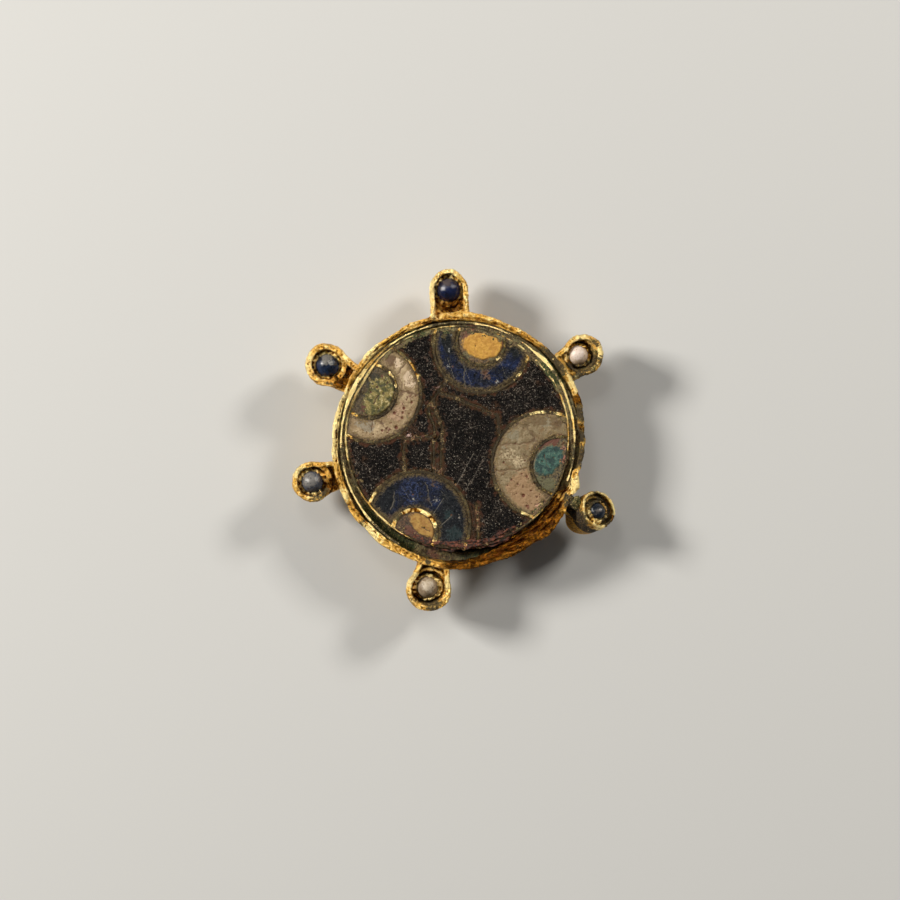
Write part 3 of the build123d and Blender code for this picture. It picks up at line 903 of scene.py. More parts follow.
edge_line = [polar(t, 8.43) + plaque_centre for t in np.linspace(0, 360, 500)]
crust = crust_along([(line, 0.44) for line in arcs] + [(edge_line, 0.66)])
crust_finish = soil_look(
    "seam_soil_look", tone(64, 44, 26), tone(104, 90, 50),
    green_spots=[
        (-6.0, 2.4, 0.8, 1.0), (0.5, 8.6, 2.0, 1.2), (4.6, -5.2, 0.5, 0.6), (6.0, -5.4, 0.5, 0.6),
        (7.8, 2.0, 0.3, 0.5),
    ],
    red_spots=[
        (1.5, -7.8, 2.4, 0.9), (-1.2, -8.0, 1.2, 0.8), (7.0, 0.6, 1.2, 0.6), (8.1, -1.4, 0.5, 0.5),
        (6.0, 5.2, 1.0, 0.8), (3.2, -1.6, 0.4, 0.8), (-3.6, 0.6, 0.6, 0.7), (5.4, 3.0, 1.2, 0.5),
        (-0.4, -3.8, 0.5, 0.7), (-5.8, -3.2, 0.3, 0.6), (-1.5, 6.8, 0.3, 0.6), (0.6, 4.2, 0.3, 0.6),
        (-7.6, 0.6, 0.5, 0.5),
    ],
    gold_share=0.035,
)
hand_over(crust, "seam_soil", crust_finish, None)
crust = crust_along([(line, 0.34) for line in waves])
crust_finish = soil_look(
    "ground_seam_look", tone(54, 38, 26), tone(88, 72, 46),
    green_spots=[(-2.4, 2.0, 0.4, 0.5), (1.0, 3.2, 0.3, 0.5)],
    red_spots=[
        (-3.6, 0.6, 0.8, 0.7), (-1.4, -1.6, 0.8, 0.8), (1.6, -6.0, 0.6, 1.0), (3.2, 1.6, 0.8, 0.8),
        (-1.8, 3.2, 0.4, 0.6),
    ],
    gold_share=0.035,
)
hand_over(crust, "ground_seam_soil", crust_finish, None)


# Flaked edge. Along the bottom the plaque's edge has corroded in thin layers, which have lifted and lie as
# red-brown and pinkish flakes over the gap.
flake_parts = []
for first, last, distance, width, height in (
    # azimuths where a layer starts and ends, its distance, width and height
    (236, 258, 8.64, 0.09, 1.66), (246, 282, 8.44, 0.10, 1.69), (252, 288, 8.20, 0.07, 1.67),
    (262, 301, 8.50, 0.11, 1.71), (274, 306, 8.68, 0.09, 1.66), (256, 276, 8.64, 0.10, 1.60),
    (284, 303, 8.28, 0.07, 1.67), (250, 300, 8.80, 0.09, 1.50), (268, 292, 8.34, 0.06, 1.69),
    (240, 262, 8.32, 0.06, 1.66),
):
    line = []
    for turn in np.linspace(first, last, (last - first) * 3):
        wave = 0.03 * math.sin(turn * 0.9) + 0.08 * math.sin(turn * 0.23 + distance * 9)
        line.append(polar(turn, distance + wave) + plaque_centre)
    part = drawn_line(line)
    stand_up(part, [height - 0.14, height - 0.05, height], width)
    flake_parts.append(part)
flakes = joined(flake_parts)
beat(flakes, [(0.8, 0.16), (0.28, 0.14), (0.13, 0.04)])


def flake_look():
    material, place, _ = start_finish("flaked_edge_look")
    lumps = place.grain(2.4, 3, 0.6)
    fine = place.grain(8.0, 4, 0.7)
    colour = (lumps * 0.7 + fine * 0.3).step(0.42, 0.58).tint(tone(40, 24, 16), tone(120, 62, 40))
    # Pale pink bits: pinkish layers, with painted highlights among them.
    colour = (lumps * 0.5 + fine * 0.5).step(0.56, 0.64).tint(colour, tone(186, 130, 104))
    colour = fine.step(0.46, 0.38).tint(colour, tone(30, 20, 14))
    end_finish(material, colour, 0.5 + fine * 0.3, fine * 0.10 + lumps * 0.06)
    return material


hand_over(flakes, "flaked_edge", flake_look(), None)


# Enamel. Ground glass melted into each cell and stoned flat. Centuries in the ground have cracked and
# pitted it, rounded its edges and left brown stain in from the strips.
def from_cad(node, reach):
    """A copy of a node's mesh in millimetres, its seams closed."""
    piece = bpy.data.objects.new("copy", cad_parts[node].data.copy())
    bpy.context.scene.collection.objects.link(piece)
    piece.data.transform(Matrix.Scale(1000, 4))
    weld(piece, reach)
    return piece


def outline_of(piece, surface):
    """The outline of a field's top in steps of 0.04 mm, ready to find what lies nearest."""
    corners = points_of(piece)
    steep = {edge.key: 0 for edge in piece.data.edges}
    for face in piece.data.polygons:
        if abs(face.normal.z) < 0.5:
            for pair in face.edge_keys:
                steep[pair] += 1
    outline = []
    for (first, second), walls in steep.items():
        start, end = corners[first], corners[second]
        if walls == 1 and min(start[2], end[2]) > surface - 0.01:
            count = max(2, int(np.hypot(*(end - start)[:2]) / 0.04))
            outline += [start + (end - start) * share for share in np.linspace(0, 1, count)]
    tree = KDTree(len(outline))
    for number, spot in enumerate(outline):
        tree.insert((spot[0], spot[1], 0), number)
    tree.balance()
    return tree


def marks(points, rows, wavy):
    """How strongly each point is marked by lines, each given as its two ends and its half width."""
    strength = np.zeros(len(points))
    for x, y, end_x, end_y, half_width in rows:
        start = np.array((x, y))
        run = np.array((end_x, end_y)) - start
        share = np.clip(((points[:, :2] - start) @ run) / (run @ run), 0, 1)
        long = np.hypot(*run)
        across = np.array((-run[1], run[0])) / long
        waver = 0.05 * np.sin(share * long * 5 + x * 3) + 0.03 * np.sin(share * long * 13 + y * 5)
        waver = waver * wavy * min(1, long)
        away = np.hypot(*(points[:, :2] - start - share[:, None] * run - waver[:, None] * across).T)
        strength = np.maximum(strength, np.exp(-(away / half_width) ** 2))
    return strength


def lay_enamel(node, name, finish, slot, cracks=(), pits=(), scratches=(), roughen=1.0):
    """A field's enamel from its CAD mesh, worn. Cracks, pits and scratches are in millimetres on the face."""
    piece = from_cad(node, 0.003)
    surface = points_of(piece)[:, 2].max()
    outline = outline_of(piece, surface)
    fuse(piece, grain=0.07)
    apply(piece, "SMOOTH", factor=0.5, iterations=3)
    on_top = np.clip((points_of(piece)[:, 2] - surface + 0.25) / 0.15, 0, 1)
    beat(piece, [(0.9, 0.05 * roughen), (0.22, 0.045 * roughen)], on_top)
    points = points_of(piece)
    margin = np.array([outline.find((x, y, 0))[2] for x, y, _ in points])
    crack = marks(points, cracks, 1)
    scratch = marks(points, scratches, 0)
    pit = np.zeros(len(points))
    for x, y, reach in pits:
        away = np.hypot(points[:, 0] - x, points[:, 1] - y)
        pit = np.maximum(pit, np.exp(-(away / reach) ** 4))
    points[:, 2] -= on_top * (0.05 * crack + 0.08 * pit + 0.02 * scratch)
    put_points(piece, points)
    note(piece, "crack", crack)
    note(piece, "scratch", scratch)
    note(piece, "pit", pit)
    note(piece, "margin", margin)
    hand_over(piece, name, finish, slot, node)


def patches(flat, grains, colour, rows):
    """Lays ragged patches of other colours over a colour, each with how full it is and its places."""
    for paint, fullness, places in rows:
        colour = (spots(flat, places) * fullness + grains).step(0.84, 1.0).tint(colour, paint)
    return colour


# Blue crescents at the top and the lower left. Deep blue enamel, cloudier and darker toward the horns, with
# fine pale scratches and a few light specks.
def blue_enamel(name, deep, mid, light, rows):
    material, place, flat = start_finish(name)
    cloud = place.grain(1.6, 3)
    fine = place.grain(7.0, 4, 0.75)
    speck = place.grain(9.0, 3, 0.7)
    colour = (cloud * 0.8 + fine * 0.5).step(0.52, 0.80).tint(deep, mid)
    colour = (cloud * 0.4 + fine * 0.8).step(0.62, 0.85).tint(colour, light)
    colour = patches(flat, fine, colour, rows)
    colour = speck.step(0.63, 0.70).tint(colour, tone(110, 112, 118))
    colour = fine.step(0.46, 0.38).tint(colour, tone(8, 10, 14))
    edge = (place.carried("margin") - fine * 0.9 + 0.18).step(0.16, -0.12)
    colour = edge.tint(colour, fine.step(0.44, 0.56).tint(tone(44, 34, 24), tone(96, 82, 54)))
    colour = (place.carried("crack") * (0.5 + fine)).step(0.3, 0.8).tint(colour, tone(92, 86, 76))
    scratched = (place.carried("scratch") * (0.3 + fine * 1.2)).step(0.45, 0.9)
    colour = scratched.tint(colour, tone(118, 114, 104))
    colour = place.carried("pit").step(0.3, 0.8).tint(colour, tone(96, 68, 54))
    shader = end_finish(material, colour, 0.16 + fine * 0.2 + edge * 0.3, fine * 0.07 + cloud * 0.04)
    shader.inputs["Specular IOR Level"].default_value = 0.18
    return material


top_blue = blue_enamel(
    "top_blue_enamel", tone(8, 13, 26), tone(17, 29, 62), tone(36, 56, 98),
    [
        (
            tone(16, 20, 22), 0.7,
            [(-0.6, 8.0, 0.5, 1.0), (4.4, 7.2, 0.1, 1.0), (-1.6, 6.6, 0.1, 0.6), (0.4, 6.2, 0.0, 0.6)],
        ),
        (tone(98, 76, 66), 0.7, [(2.07, 5.4, 0.15, 0.3), (1.9, 5.0, 0.02, 0.25)]),
        (
            tone(150, 150, 146), 0.55,
            [(-0.6, 7.3, 0.0, 0.2), (-0.7, 5.9, 0.02, 0.2), (3.0, 4.7, 0.02, 0.22), (-0.7, 8.3, 0.02, 0.3)],
        ),
        (
            tone(84, 74, 50), 0.5,
            [(1.2, 8.6, 0.2, 0.7), (3.5, 8.0, 0.2, 0.7), (-0.4, 8.9, 0.3, 0.8), (-1.2, 8.2, 0.1, 0.5)],
        ),
    ],
)
lay_enamel(
    "enamel_top_crescent", "top_blue_crescent", top_blue, "enamel_blue",
    cracks=[(0.35, 7.0, 0.45, 4.2, 0.05), (1.6, 6.0, 1.75, 5.0, 0.04)],
    pits=[(2.07, 5.4, 0.14), (2.9, 4.75, 0.08), (-0.5, 5.9, 0.1)],
    scratches=[(-0.9, 6.6, -0.4, 5.0, 0.05), (0.5, 5.6, 0.9, 4.6, 0.04), (3.2, 6.4, 3.6, 5.2, 0.04)],
)
lower_blue = blue_enamel(
    "lower_blue_enamel", tone(14, 17, 28), tone(24, 34, 62), tone(48, 62, 98),
    [
        (
            tone(16, 20, 26), 0.75,
            [
                (-6.0, -4.6, 0.6, 0.8), (-5.2, -3.6, 0.1, 0.6), (-0.9, -6.4, 1.0, 0.9),
                (-0.6, -4.6, 0.4, 1.0),
            ],
        ),
        (tone(36, 50, 52), 0.5, [(-0.4, -7.2, 0.4, 0.6), (-0.8, -5.6, 0.2, 0.5)]),
        (tone(46, 60, 100), 0.38, [(-3.7, -3.9, 0.6, 0.9), (-3.9, -4.6, 0.3, 0.5)]),
        (
            tone(150, 146, 138), 0.55,
            [(-3.66, -4.45, 0.02, 0.2), (-1.8, -4.45, 0.02, 0.2), (0.0, -5.85, 0.02, 0.22)],
        ),
        (tone(84, 66, 54), 0.5, [(-1.9, -3.3, 0.05, 0.5), (-2.4, -4.5, 0.02, 0.4), (-5.4, -6.0, 0.2, 0.5)]),
    ],
)
lay_enamel(
    "enamel_lower_left_crescent", "lower_left_blue_crescent", lower_blue, "enamel_blue",
    cracks=[(-5.0, -3.9, -5.3, -5.3, 0.05), (-2.6, -3.1, -2.2, -5.0, 0.045)],
    pits=[(-3.6, -4.1, 0.09), (-0.6, -5.7, 0.1), (-4.4, -5.0, 0.07)],
    scratches=[
        (-1.2, -4.4, -2.0, -5.6, 0.05), (-0.6, -5.8, -1.5, -6.6, 0.05), (-1.5, -3.7, -0.9, -4.5, 0.04),
        (-4.5, -3.4, -3.8, -4.6, 0.04),
    ],
    roughen=1.1,
)


# White crescents at the right and the upper left. Opaque white enamel gone cream, crossed by cracks that
# part it into blocks, and riddled with small brown pits where bubbles in it have opened.
def white_enamel(name, light, shade, rows):
    material, place, flat = start_finish(name)
    cloud = place.grain(1.5, 3)
    fine = place.grain(6.0, 4, 0.7)
    bubbles = place.cells(3.4)
    size = place.grain(2.6, 1)
    colour = (cloud * 0.7 + fine * 0.3).step(0.42, 0.60).tint(shade, light)
    colour = patches(flat, fine, colour, rows)
    smudge = place.grain(2.2, 4, 0.7)
    colour = (smudge * 0.7 + fine * 0.3).step(0.50, 0.66).tint(colour, tone(128, 100, 66))
    colour = (fine * 0.8 + cloud * 0.2).step(0.42, 0.32).tint(colour, tone(104, 78, 46))
    holes = (bubbles - size * 0.16).step(0.09, 0.0) * 0.9
    colour = holes.tint(colour, tone(108, 66, 34))
    stain = (place.carried("margin") - fine * 1.1 - cloud * 0.9 + 0.74).step(0.10, -0.06)
    colour = stain.tint(colour, fine.step(0.44, 0.56).tint(tone(76, 54, 34), tone(130, 110, 72)))
    cracked = (place.carried("crack") * (0.35 + fine * 1.1)).step(0.15, 0.95)
    colour = cracked.tint(colour, tone(98, 72, 46))
    colour = (place.carried("pit") * (0.6 + fine * 0.8)).step(0.12, 0.6).tint(colour, tone(98, 50, 22))
    colour = (place.carried("scratch") * (0.4 + fine)).step(0.4, 0.9).tint(colour, tone(120, 94, 62))
    end_finish(material, colour, 0.42 + fine * 0.2, fine * 0.07 + cloud * 0.05 - holes * 0.06)
    return material


right_white = white_enamel(
    "right_white_enamel", tone(148, 132, 102), tone(124, 108, 77),
    [
        (tone(154, 124, 90), 0.6, [(5.4, -3.7, 1.2, 1.2)]),
        (tone(132, 122, 98), 0.6, [(4.2, 0.6, 0.3, 0.6), (6.6, 1.7, 0.4, 0.5), (3.6, -0.5, 0.1, 0.5)]),
        (tone(184, 166, 134), 0.45, [(3.9, -1.1, 0.3, 0.6), (4.6, -1.6, 0.3, 0.4)]),
        (
            tone(106, 88, 58), 0.6,
            [(5.0, 1.7, 0.3, 0.5), (6.1, 1.9, 0.5, 0.5), (7.6, 1.6, 0.4, 0.5), (5.8, 0.6, 0.1, 0.5)],
        ),
        (tone(190, 146, 122), 0.6, [(4.95, 1.72, 0.03, 0.25), (6.4, -5.0, 0.1, 0.4)]),
        (
            tone(92, 70, 44), 0.5,
            [(7.8, 1.6, 0.2, 0.5), (5.8, 0.1, 0.1, 0.5), (3.6, -2.4, 0.05, 0.5), (5.2, -1.0, 0.02, 0.5)],
        ),
        (tone(108, 108, 74), 0.5, [(6.6, -4.4, 0.1, 0.6), (7.4, -3.6, 0.3, 0.6)]),
        (tone(104, 58, 38), 0.55, [(5.6, -5.4, 0.1, 0.4), (5.4, -5.0, 0.02, 0.3)]),
    ],
)
lay_enamel(
    "enamel_right_crescent", "right_white_crescent", right_white, "enamel_white",
    cracks=[
        (2.9, -0.2, 5.6, -0.1, 0.06), (2.9, -2.25, 5.3, -2.1, 0.06), (5.3, 1.3, 6.0, 0.1, 0.05),
        (5.9, -4.9, 7.0, -4.6, 0.05),
    ],
    pits=[
        (5.03, -4.18, 0.14), (5.3, -2.7, 0.09), (4.1, -2.95, 0.08), (6.3, -3.6, 0.09), (5.9, -3.2, 0.07),
        (4.6, -3.3, 0.07), (6.6, -4.6, 0.12), (5.3, -5.0, 0.10), (4.9, -2.5, 0.06), (6.1, -4.3, 0.07),
        (3.5, -1.6, 0.07), (4.4, -0.1, 0.06), (5.6, -3.8, 0.06), (4.5, -4.0, 0.05), (5.0, -3.5, 0.05),
        (6.9, -3.4, 0.06), (5.8, -5.5, 0.13), (3.8, -3.4, 0.06), (5.15, -1.45, 0.07), (3.2, -1.0, 0.05),
        (7.3, -4.0, 0.06),
    ],
    scratches=[(3.2, -1.4, 5.0, -1.3, 0.05), (3.4, 0.7, 4.0, 1.6, 0.05)],
)
upper_white = white_enamel(
    "upper_white_enamel", tone(180, 158, 124), tone(148, 126, 92),
    [
        (tone(208, 186, 158), 0.7, [(-3.75, 4.9, 0.45, 0.4), (-4.6, 6.1, 0.2, 0.4)]),
        (tone(170, 140, 112), 0.5, [(-5.0, 2.4, 0.5, 0.8)]),
        (tone(146, 136, 116), 0.7, [(-7.3, 1.4, 0.4, 0.6)]),
        (
            tone(104, 80, 56), 0.6,
            [(-5.4, 6.4, 0.3, 0.5), (-3.8, 3.7, 0.1, 0.35), (-4.6, 3.8, 0.1, 0.4), (-6.2, 1.6, 0.05, 0.4)],
        ),
        (tone(92, 90, 60), 0.45, [(-3.4, 3.9, 0.05, 0.4), (-4.0, 2.0, 0.05, 0.4), (-8.0, 2.6, 0.1, 0.5)]),
        (
            tone(96, 52, 36), 0.5,
            [
                (-4.45, 2.95, 0.03, 0.3), (-3.6, 2.2, 0.02, 0.25), (-4.0, 3.5, 0.05, 0.3),
                (-5.6, 1.0, 0.02, 0.3),
            ],
        ),
    ],
)
lay_enamel(
    "enamel_upper_left_crescent", "upper_left_white_crescent", upper_white, "enamel_white",
    cracks=[
        (-4.85, 5.3, -4.15, 6.1, 0.06), (-4.5, 4.0, -3.3, 3.75, 0.10), (-6.4, 1.7, -5.6, 1.0, 0.06),
        (-4.65, 5.1, -4.4, 4.1, 0.045), (-5.4, 2.7, -4.7, 1.9, 0.05), (-6.9, 0.9, -6.6, 1.9, 0.05),
    ],
    pits=[
        (-5.04, 2.27, 0.13), (-4.9, 1.12, 0.14), (-4.3, 2.65, 0.12), (-4.4, 2.3, 0.10), (-4.45, 1.9, 0.10),
        (-6.0, 0.9, 0.10), (-3.7, 3.1, 0.10), (-5.6, 0.75, 0.06), (-3.9, 2.2, 0.06), (-5.3, 1.5, 0.06),
        (-3.4, 3.6, 0.07), (-6.7, 0.6, 0.06), (-3.9, 4.6, 0.05), (-4.9, 2.9, 0.06), (-4.1, 3.3, 0.06),
    ],
    scratches=[(-4.0, 5.2, -3.7, 4.2, 0.05)],
)


# Lunettes. Small fields of opaque yellow, turquoise and green, one in each crescent. Each has shrunk to a
# patch with brown stain round it, and the green one is half lost to a mottled crust.
def lunette_enamel(name, main, second, speckle, stain, centre, size, turn, ragged, rows):
    """Enamel that is left in a patch of this centre, half size and turn. Round it lies a crust."""
    material, place, flat = start_finish(name)
    cloud = place.grain(1.8, 3)
    fine = place.grain(6.0, 4, 0.7)
    away = place.vector("SUBTRACT", (*centre, 0)).laid_flat().spun(-turn)
    away = away.vector("DIVIDE", (*size, 1)).vector("LENGTH", out=1)
    kept = (away + (fine - 0.5) * ragged * 1.4 + (cloud - 0.5) * ragged).step(1.10, 0.90)
    kept = kept * (place.carried("margin") - fine * 0.3 + 0.12).step(0.02, 0.16)
    mottle = place.grain(2.6, 4, 0.65)
    colour = (mottle * 0.8 + fine * 0.2).step(0.42, 0.58).tint(main, second)
    speckled = (place.grain(7.0, 3, 0.7) * 0.6 + mottle * 0.4 + (ragged - 0.5) * 0.06).step(0.57, 0.66)
    colour = speckled.tint(colour, speckle)
    dirty = (fine * 0.4 + mottle * 0.6 - (ragged - 0.5) * 0.16).step(0.38, 0.30)
    colour = dirty.tint(colour, tone(58, 50, 28))
    crust = fine.step(0.40, 0.58).tint(tone(40, 30, 20), stain)
    crust = place.grain(8.0, 4, 0.75).step(0.55, 0.66).tint(crust, tone(142, 122, 84))
    crust = patches(flat, fine, crust, rows)
    colour = kept.tint(crust, colour)
    colour = place.carried("pit").step(0.3, 0.8).tint(colour, tone(80, 52, 30))
    colour = place.carried("crack").step(0.3, 0.8).tint(colour, tone(78, 56, 36))
    end_finish(material, colour, 0.42 + fine * 0.25, kept * 0.06 + fine * 0.10)
    return material


finish = lunette_enamel(
    "top_yellow_enamel", tone(206, 156, 62), tone(188, 136, 50), tone(170, 108, 34), tone(112, 86, 54),
    centre=(1.86, 7.52), size=(1.56, 0.98), turn=-8, ragged=0.38,
    rows=[
        (tone(108, 66, 44), 0.45, [(0.5, 8.3, 0.1, 0.5), (3.4, 7.6, 0.1, 0.4)]),
        (tone(104, 96, 62), 0.5, [(1.9, 8.8, 0.5, 0.5), (2.6, 6.7, 0.2, 0.5), (0.6, 6.8, 0.2, 0.5)]),
    ],
)
lay_enamel(
    "enamel_top_lunette", "top_yellow_lunette", finish, "enamel_yellow",
    pits=[(1.3, 7.5, 0.06), (1.4, 7.9, 0.05)],
)
finish = lunette_enamel(
    "lower_yellow_enamel", tone(176, 138, 66), tone(156, 112, 50), tone(126, 78, 34), tone(90, 62, 40),
    centre=(-2.75, -6.50), size=(1.30, 0.66), turn=-40, ragged=0.5,
    rows=[(tone(100, 62, 46), 0.5, [(-3.8, -7.0, 0.3, 0.7), (-3.2, -7.6, 0.2, 0.5)])],
)
lay_enamel(
    "enamel_lower_left_lunette", "lower_left_yellow_lunette", finish, "enamel_yellow",
    cracks=[(-2.9, -6.6, -2.3, -7.0, 0.05)], pits=[(-2.7, -6.7, 0.09)], roughen=1.3,
)
finish = lunette_enamel(
    "turquoise_enamel", tone(20, 50, 50), tone(58, 98, 88), tone(122, 138, 108), tone(104, 92, 62),
    centre=(6.98, -1.42), size=(1.38, 0.92), turn=48, ragged=0.45,
    rows=[
        (tone(98, 56, 40), 0.6, [(6.4, 0.2, 0.5, 0.5), (5.6, -0.6, 0.1, 0.5), (7.4, 0.3, 0.3, 0.5)]),
        (tone(168, 112, 94), 0.6, [(8.15, -1.3, 0.1, 0.4), (8.05, -0.5, 0.05, 0.4)]),
        (tone(96, 94, 64), 0.5, [(7.0, -3.4, 0.5, 0.5), (6.2, -2.9, 0.2, 0.5)]),
    ],
)
lay_enamel(
    "enamel_right_lunette", "right_turquoise_lunette", finish, "enamel_turquoise",
    cracks=[(6.6, -1.0, 7.0, -2.0, 0.04)], pits=[(7.4, -1.2, 0.07), (6.5, -1.5, 0.06)],
)
finish = lunette_enamel(
    "green_enamel", tone(72, 74, 28), tone(138, 122, 64), tone(198, 182, 134), tone(84, 68, 38),
    centre=(-6.0, 3.45), size=(1.85, 1.30), turn=62, ragged=1.0,
    rows=[
        (tone(44, 42, 26), 0.5, [(-6.6, 4.6, 0.5, 0.6), (-7.2, 3.6, 0.2, 0.6)]),
        (tone(58, 78, 34), 0.45, [(-5.9, 2.9, 0.2, 0.6), (-5.2, 4.2, 0.2, 0.5)]),
        (tone(96, 56, 44), 0.45, [(-7.3, 2.6, 0.2, 0.5), (-6.0, 4.9, 0.1, 0.4)]),
    ],
)
lay_enamel(
    "enamel_upper_left_lunette", "upper_left_green_lunette", finish, "enamel_green",
    cracks=[(-6.7, 3.0, -6.3, 3.6, 0.06)],
    pits=[(-5.6, 4.6, 0.10), (-6.4, 4.3, 0.12), (-5.9, 3.8, 0.08), (-6.9, 3.9, 0.12), (-6.3, 2.6, 0.07)],
    roughen=2.0,
)


# Dark ground. Near-black purple glass with a coarse ground surface, its sparkle painted as pale specks, and
# brown and red stain along the strips. Long fine scratches cross the middle.
def dark_enamel():
    material, place, flat = start_finish("dark_enamel")
    broad = place.grain(0.9, 3)
    crystals = place.grain(5.0, 5, 0.85)
    specks_and_glints = place.grain(7.5, 3, 0.8)
    colour = (broad + crystals * 0.4).step(0.52, 0.85).tint(tone(6, 5, 5), tone(17, 13, 12))
    # Lighter grains, and pale specks painted in as glints.
    colour = crystals.step(0.55, 0.63).tint(colour, tone(52, 43, 38))
    colour = (crystals * 0.5 + specks_and_glints * 0.5 + broad * 0.1).step(0.61, 0.66).tint(colour, tone(96, 86, 76))
    colour = (specks_and_glints + broad * 0.1).step(0.67, 0.71).tint(colour, tone(178, 170, 156))
    for turn, scale in ((63, 8.0), (-38, 7.0), (8, 9.0)):
        drawn = place.spun(turn).vector("MULTIPLY", (0.20, 1, 1))
        hair = (drawn.grain(scale, 3, 0.7) * 0.8 + broad * 0.2 + crystals * 0.2).step(0.71, 0.79)
        colour = hair.tint(colour, tone(126, 114, 102))
    brown = [
        (-3.6, 1.0, 0.3, 1.0), (1.2, -5.6, 0.3, 0.8), (1.4, -7.2, 0.3, 0.8), (-1.6, 3.6, 0.1, 0.9),
        (2.9, 2.8, 0.2, 0.8), (-1.2, -2.0, 0.1, 0.8), (-4.4, -1.4, 0.2, 0.8), (-0.6, -7.3, 0.5, 0.8),
        (2.6, -3.4, 0.1, 0.7), (-7.4, -1.4, 0.1, 0.7), (6.2, 4.6, 0.1, 0.9), (2.6, -1.0, 0.05, 0.6),
        (-3.0, 3.2, 0.1, 0.6),
    ]
    lumps = place.grain(2.4, 3, 0.6)
    earth = lumps.step(0.45, 0.60).tint(tone(74, 60, 38), tone(80, 50, 36))
    stain = (place.carried("margin") - crystals * 0.9 - lumps * 1.2 + 0.86).step(0.10, -0.10)
    colour = (stain * 0.85).tint(colour, earth)
    colour = patches(flat, crystals, colour, [
        (tone(72, 52, 38), 0.42, brown),
        (tone(118, 96, 86), 0.36, [(-2.4, 4.9, 0.2, 0.9), (-2.0, 4.0, 0.1, 0.8), (-2.6, 6.4, 0.1, 0.7)]),
        (
            tone(200, 170, 160), 0.5,
            [
                (-1.45, 4.2, 0.05, 0.35), (-1.5, 3.8, 0.02, 0.3), (-4.0, 0.38, 0.1, 0.2),
                (-3.7, 0.42, 0.02, 0.2),
            ],
        ),
        (tone(100, 66, 58), 0.45, [(-0.2, -7.7, 0.2, 0.5), (3.2, -7.0, 0.1, 0.6)]),
    ])
    scratched = (place.carried("scratch") * (0.25 + crystals * 1.4)).step(0.40, 0.85)
    colour = scratched.tint(colour, tone(130, 122, 112))
    shader = end_finish(material, colour, 0.18 + crystals * 0.2, crystals * 0.14 + specks_and_glints * 0.06)
    shader.inputs["Specular IOR Level"].default_value = 0.10
    return material


ground_finish = dark_enamel()
ground_scratches = {
    "ground_centre": [
        (1.17, -0.86, 0.35, -2.3, 0.035), (0.5, -2.1, -0.23, -3.44, 0.035), (1.9, -0.3, 1.2, -1.6, 0.025),
        (-0.4, 2.4, 0.2, 1.9, 0.03), (2.3, -3.1, 2.1, -3.6, 0.04), (-0.6, -2.6, -0.4, -3.0, 0.03),
        (1.6, -1.9, 0.9, -3.3, 0.03), (0.2, 0.9, 1.5, 1.3, 0.025), (-0.9, 1.8, -0.2, 3.0, 0.025),
        (0.9, -3.0, 0.5, -3.9, 0.035),
    ],
    "ground_small": [(-2.7, -0.4, -3.1, -1.2, 0.03), (-2.2, -0.7, -2.4, -1.1, 0.02)],
    "ground_left": [(-5.4, -2.2, -5.1, -2.9, 0.025)],
    "ground_upper_right": [(5.6, 3.6, 5.9, 3.0, 0.02)],
    "ground_upper_left": [(-2.4, 6.4, -2.2, 5.8, 0.02)],
    "ground_band": [],
}
for node, scratches in ground_scratches.items():
    lay_enamel(node, node + "_worn", ground_finish, "enamel_dark", scratches=scratches, roughen=1.8)


# Collets. Each bead sits in a thin crimped collar inside a thick loop of gold strip. The loop stands on a
# small floor and its two ends run in to the rim, where they are soldered. Solder and soil fill it up to
# near the top, but for a narrow groove round each collar.
collets = {
    # name: azimuth, distance, lean in degrees and toward where, loop radius, wall, half width of the neck
    # as a share of the radius, height of the filling
    "top": (93.9, 12.05, 0, 0, 1.56, 0.42, 0.97, 1.15),
    "upper_left": (149.7, 11.99, 0, 0, 1.72, 0.525, 0.66, 1.45),
    "left": (195.1, 11.87, 0, 0, 1.64, 0.42, 0.62, 1.45),
    "bottom": (258.4, 11.71, 0, 0, 1.83, 0.46, 0.66, 1.45),
    "lower_right": (330.2, 11.5, 34, 55.7, 1.57, 0.27, 0.0, 1.50),
    "upper_right": (35.1, 11.85, 0, 0, 1.65, 0.42, 0.74, 1.55),
}
bead_places = {
    # name: radius of the bead, and its place in the collet
    "top": (0.936, -0.15, 0.0, 1.316),
    "upper_left": (0.918, -0.09, 0.03, 1.298),
    "left": (0.873, 0.03, 0.03, 1.253),
    "bottom": (0.837, -0.075, -0.129, 1.217),
    "lower_right": (0.693, 0.045, -0.15, 1.633),
    "upper_right": (0.774, -0.312, 0.198, 1.154),
}
ring_ends = {
    # name: top and width of the wall that closes the ring toward the rim
    "upper_left": (1.78, 0.40), "left": (1.80, 0.34), "bottom": (1.72, 0.22), "upper_right": (1.60, 0.26),
}
collar_lips = {
    # name: where the collar is spread outward, as azimuth, half reach in degrees and push
    "top": [(270, 42, 0.26), (15, 50, 0.13), (100, 30, 0.05)],
    "upper_left": [(0, 60, 0.15), (285, 35, 0.20), (180, 50, 0.04)],
    "left": [(350, 60, 0.10), (270, 30, 0.07), (150, 50, 0.05)],
    "bottom": [(175, 45, 0.22), (5, 40, 0.22), (90, 30, 0.08)],
    "lower_right": [(215, 60, 0.16), (60, 40, 0.06)],
    "upper_right": [(180, 50, 0.30), (330, 40, 0.10)],
}
collet_top = 1.92
neck_end = 9.55
web_end = 8.9


def collet_frame(azimuth, distance, lean, toward):
    """Takes a collet from the middle of the disc to its own place."""
    return (
        Matrix.Rotation(math.radians(azimuth), 4, "Z") @ Matrix.Translation((distance, 0, 0))
        @ Matrix.Rotation(math.radians(toward), 4, "Z") @ Matrix.Rotation(math.radians(lean), 4, "Y")
        @ Matrix.Rotation(math.radians(-toward), 4, "Z")
    )


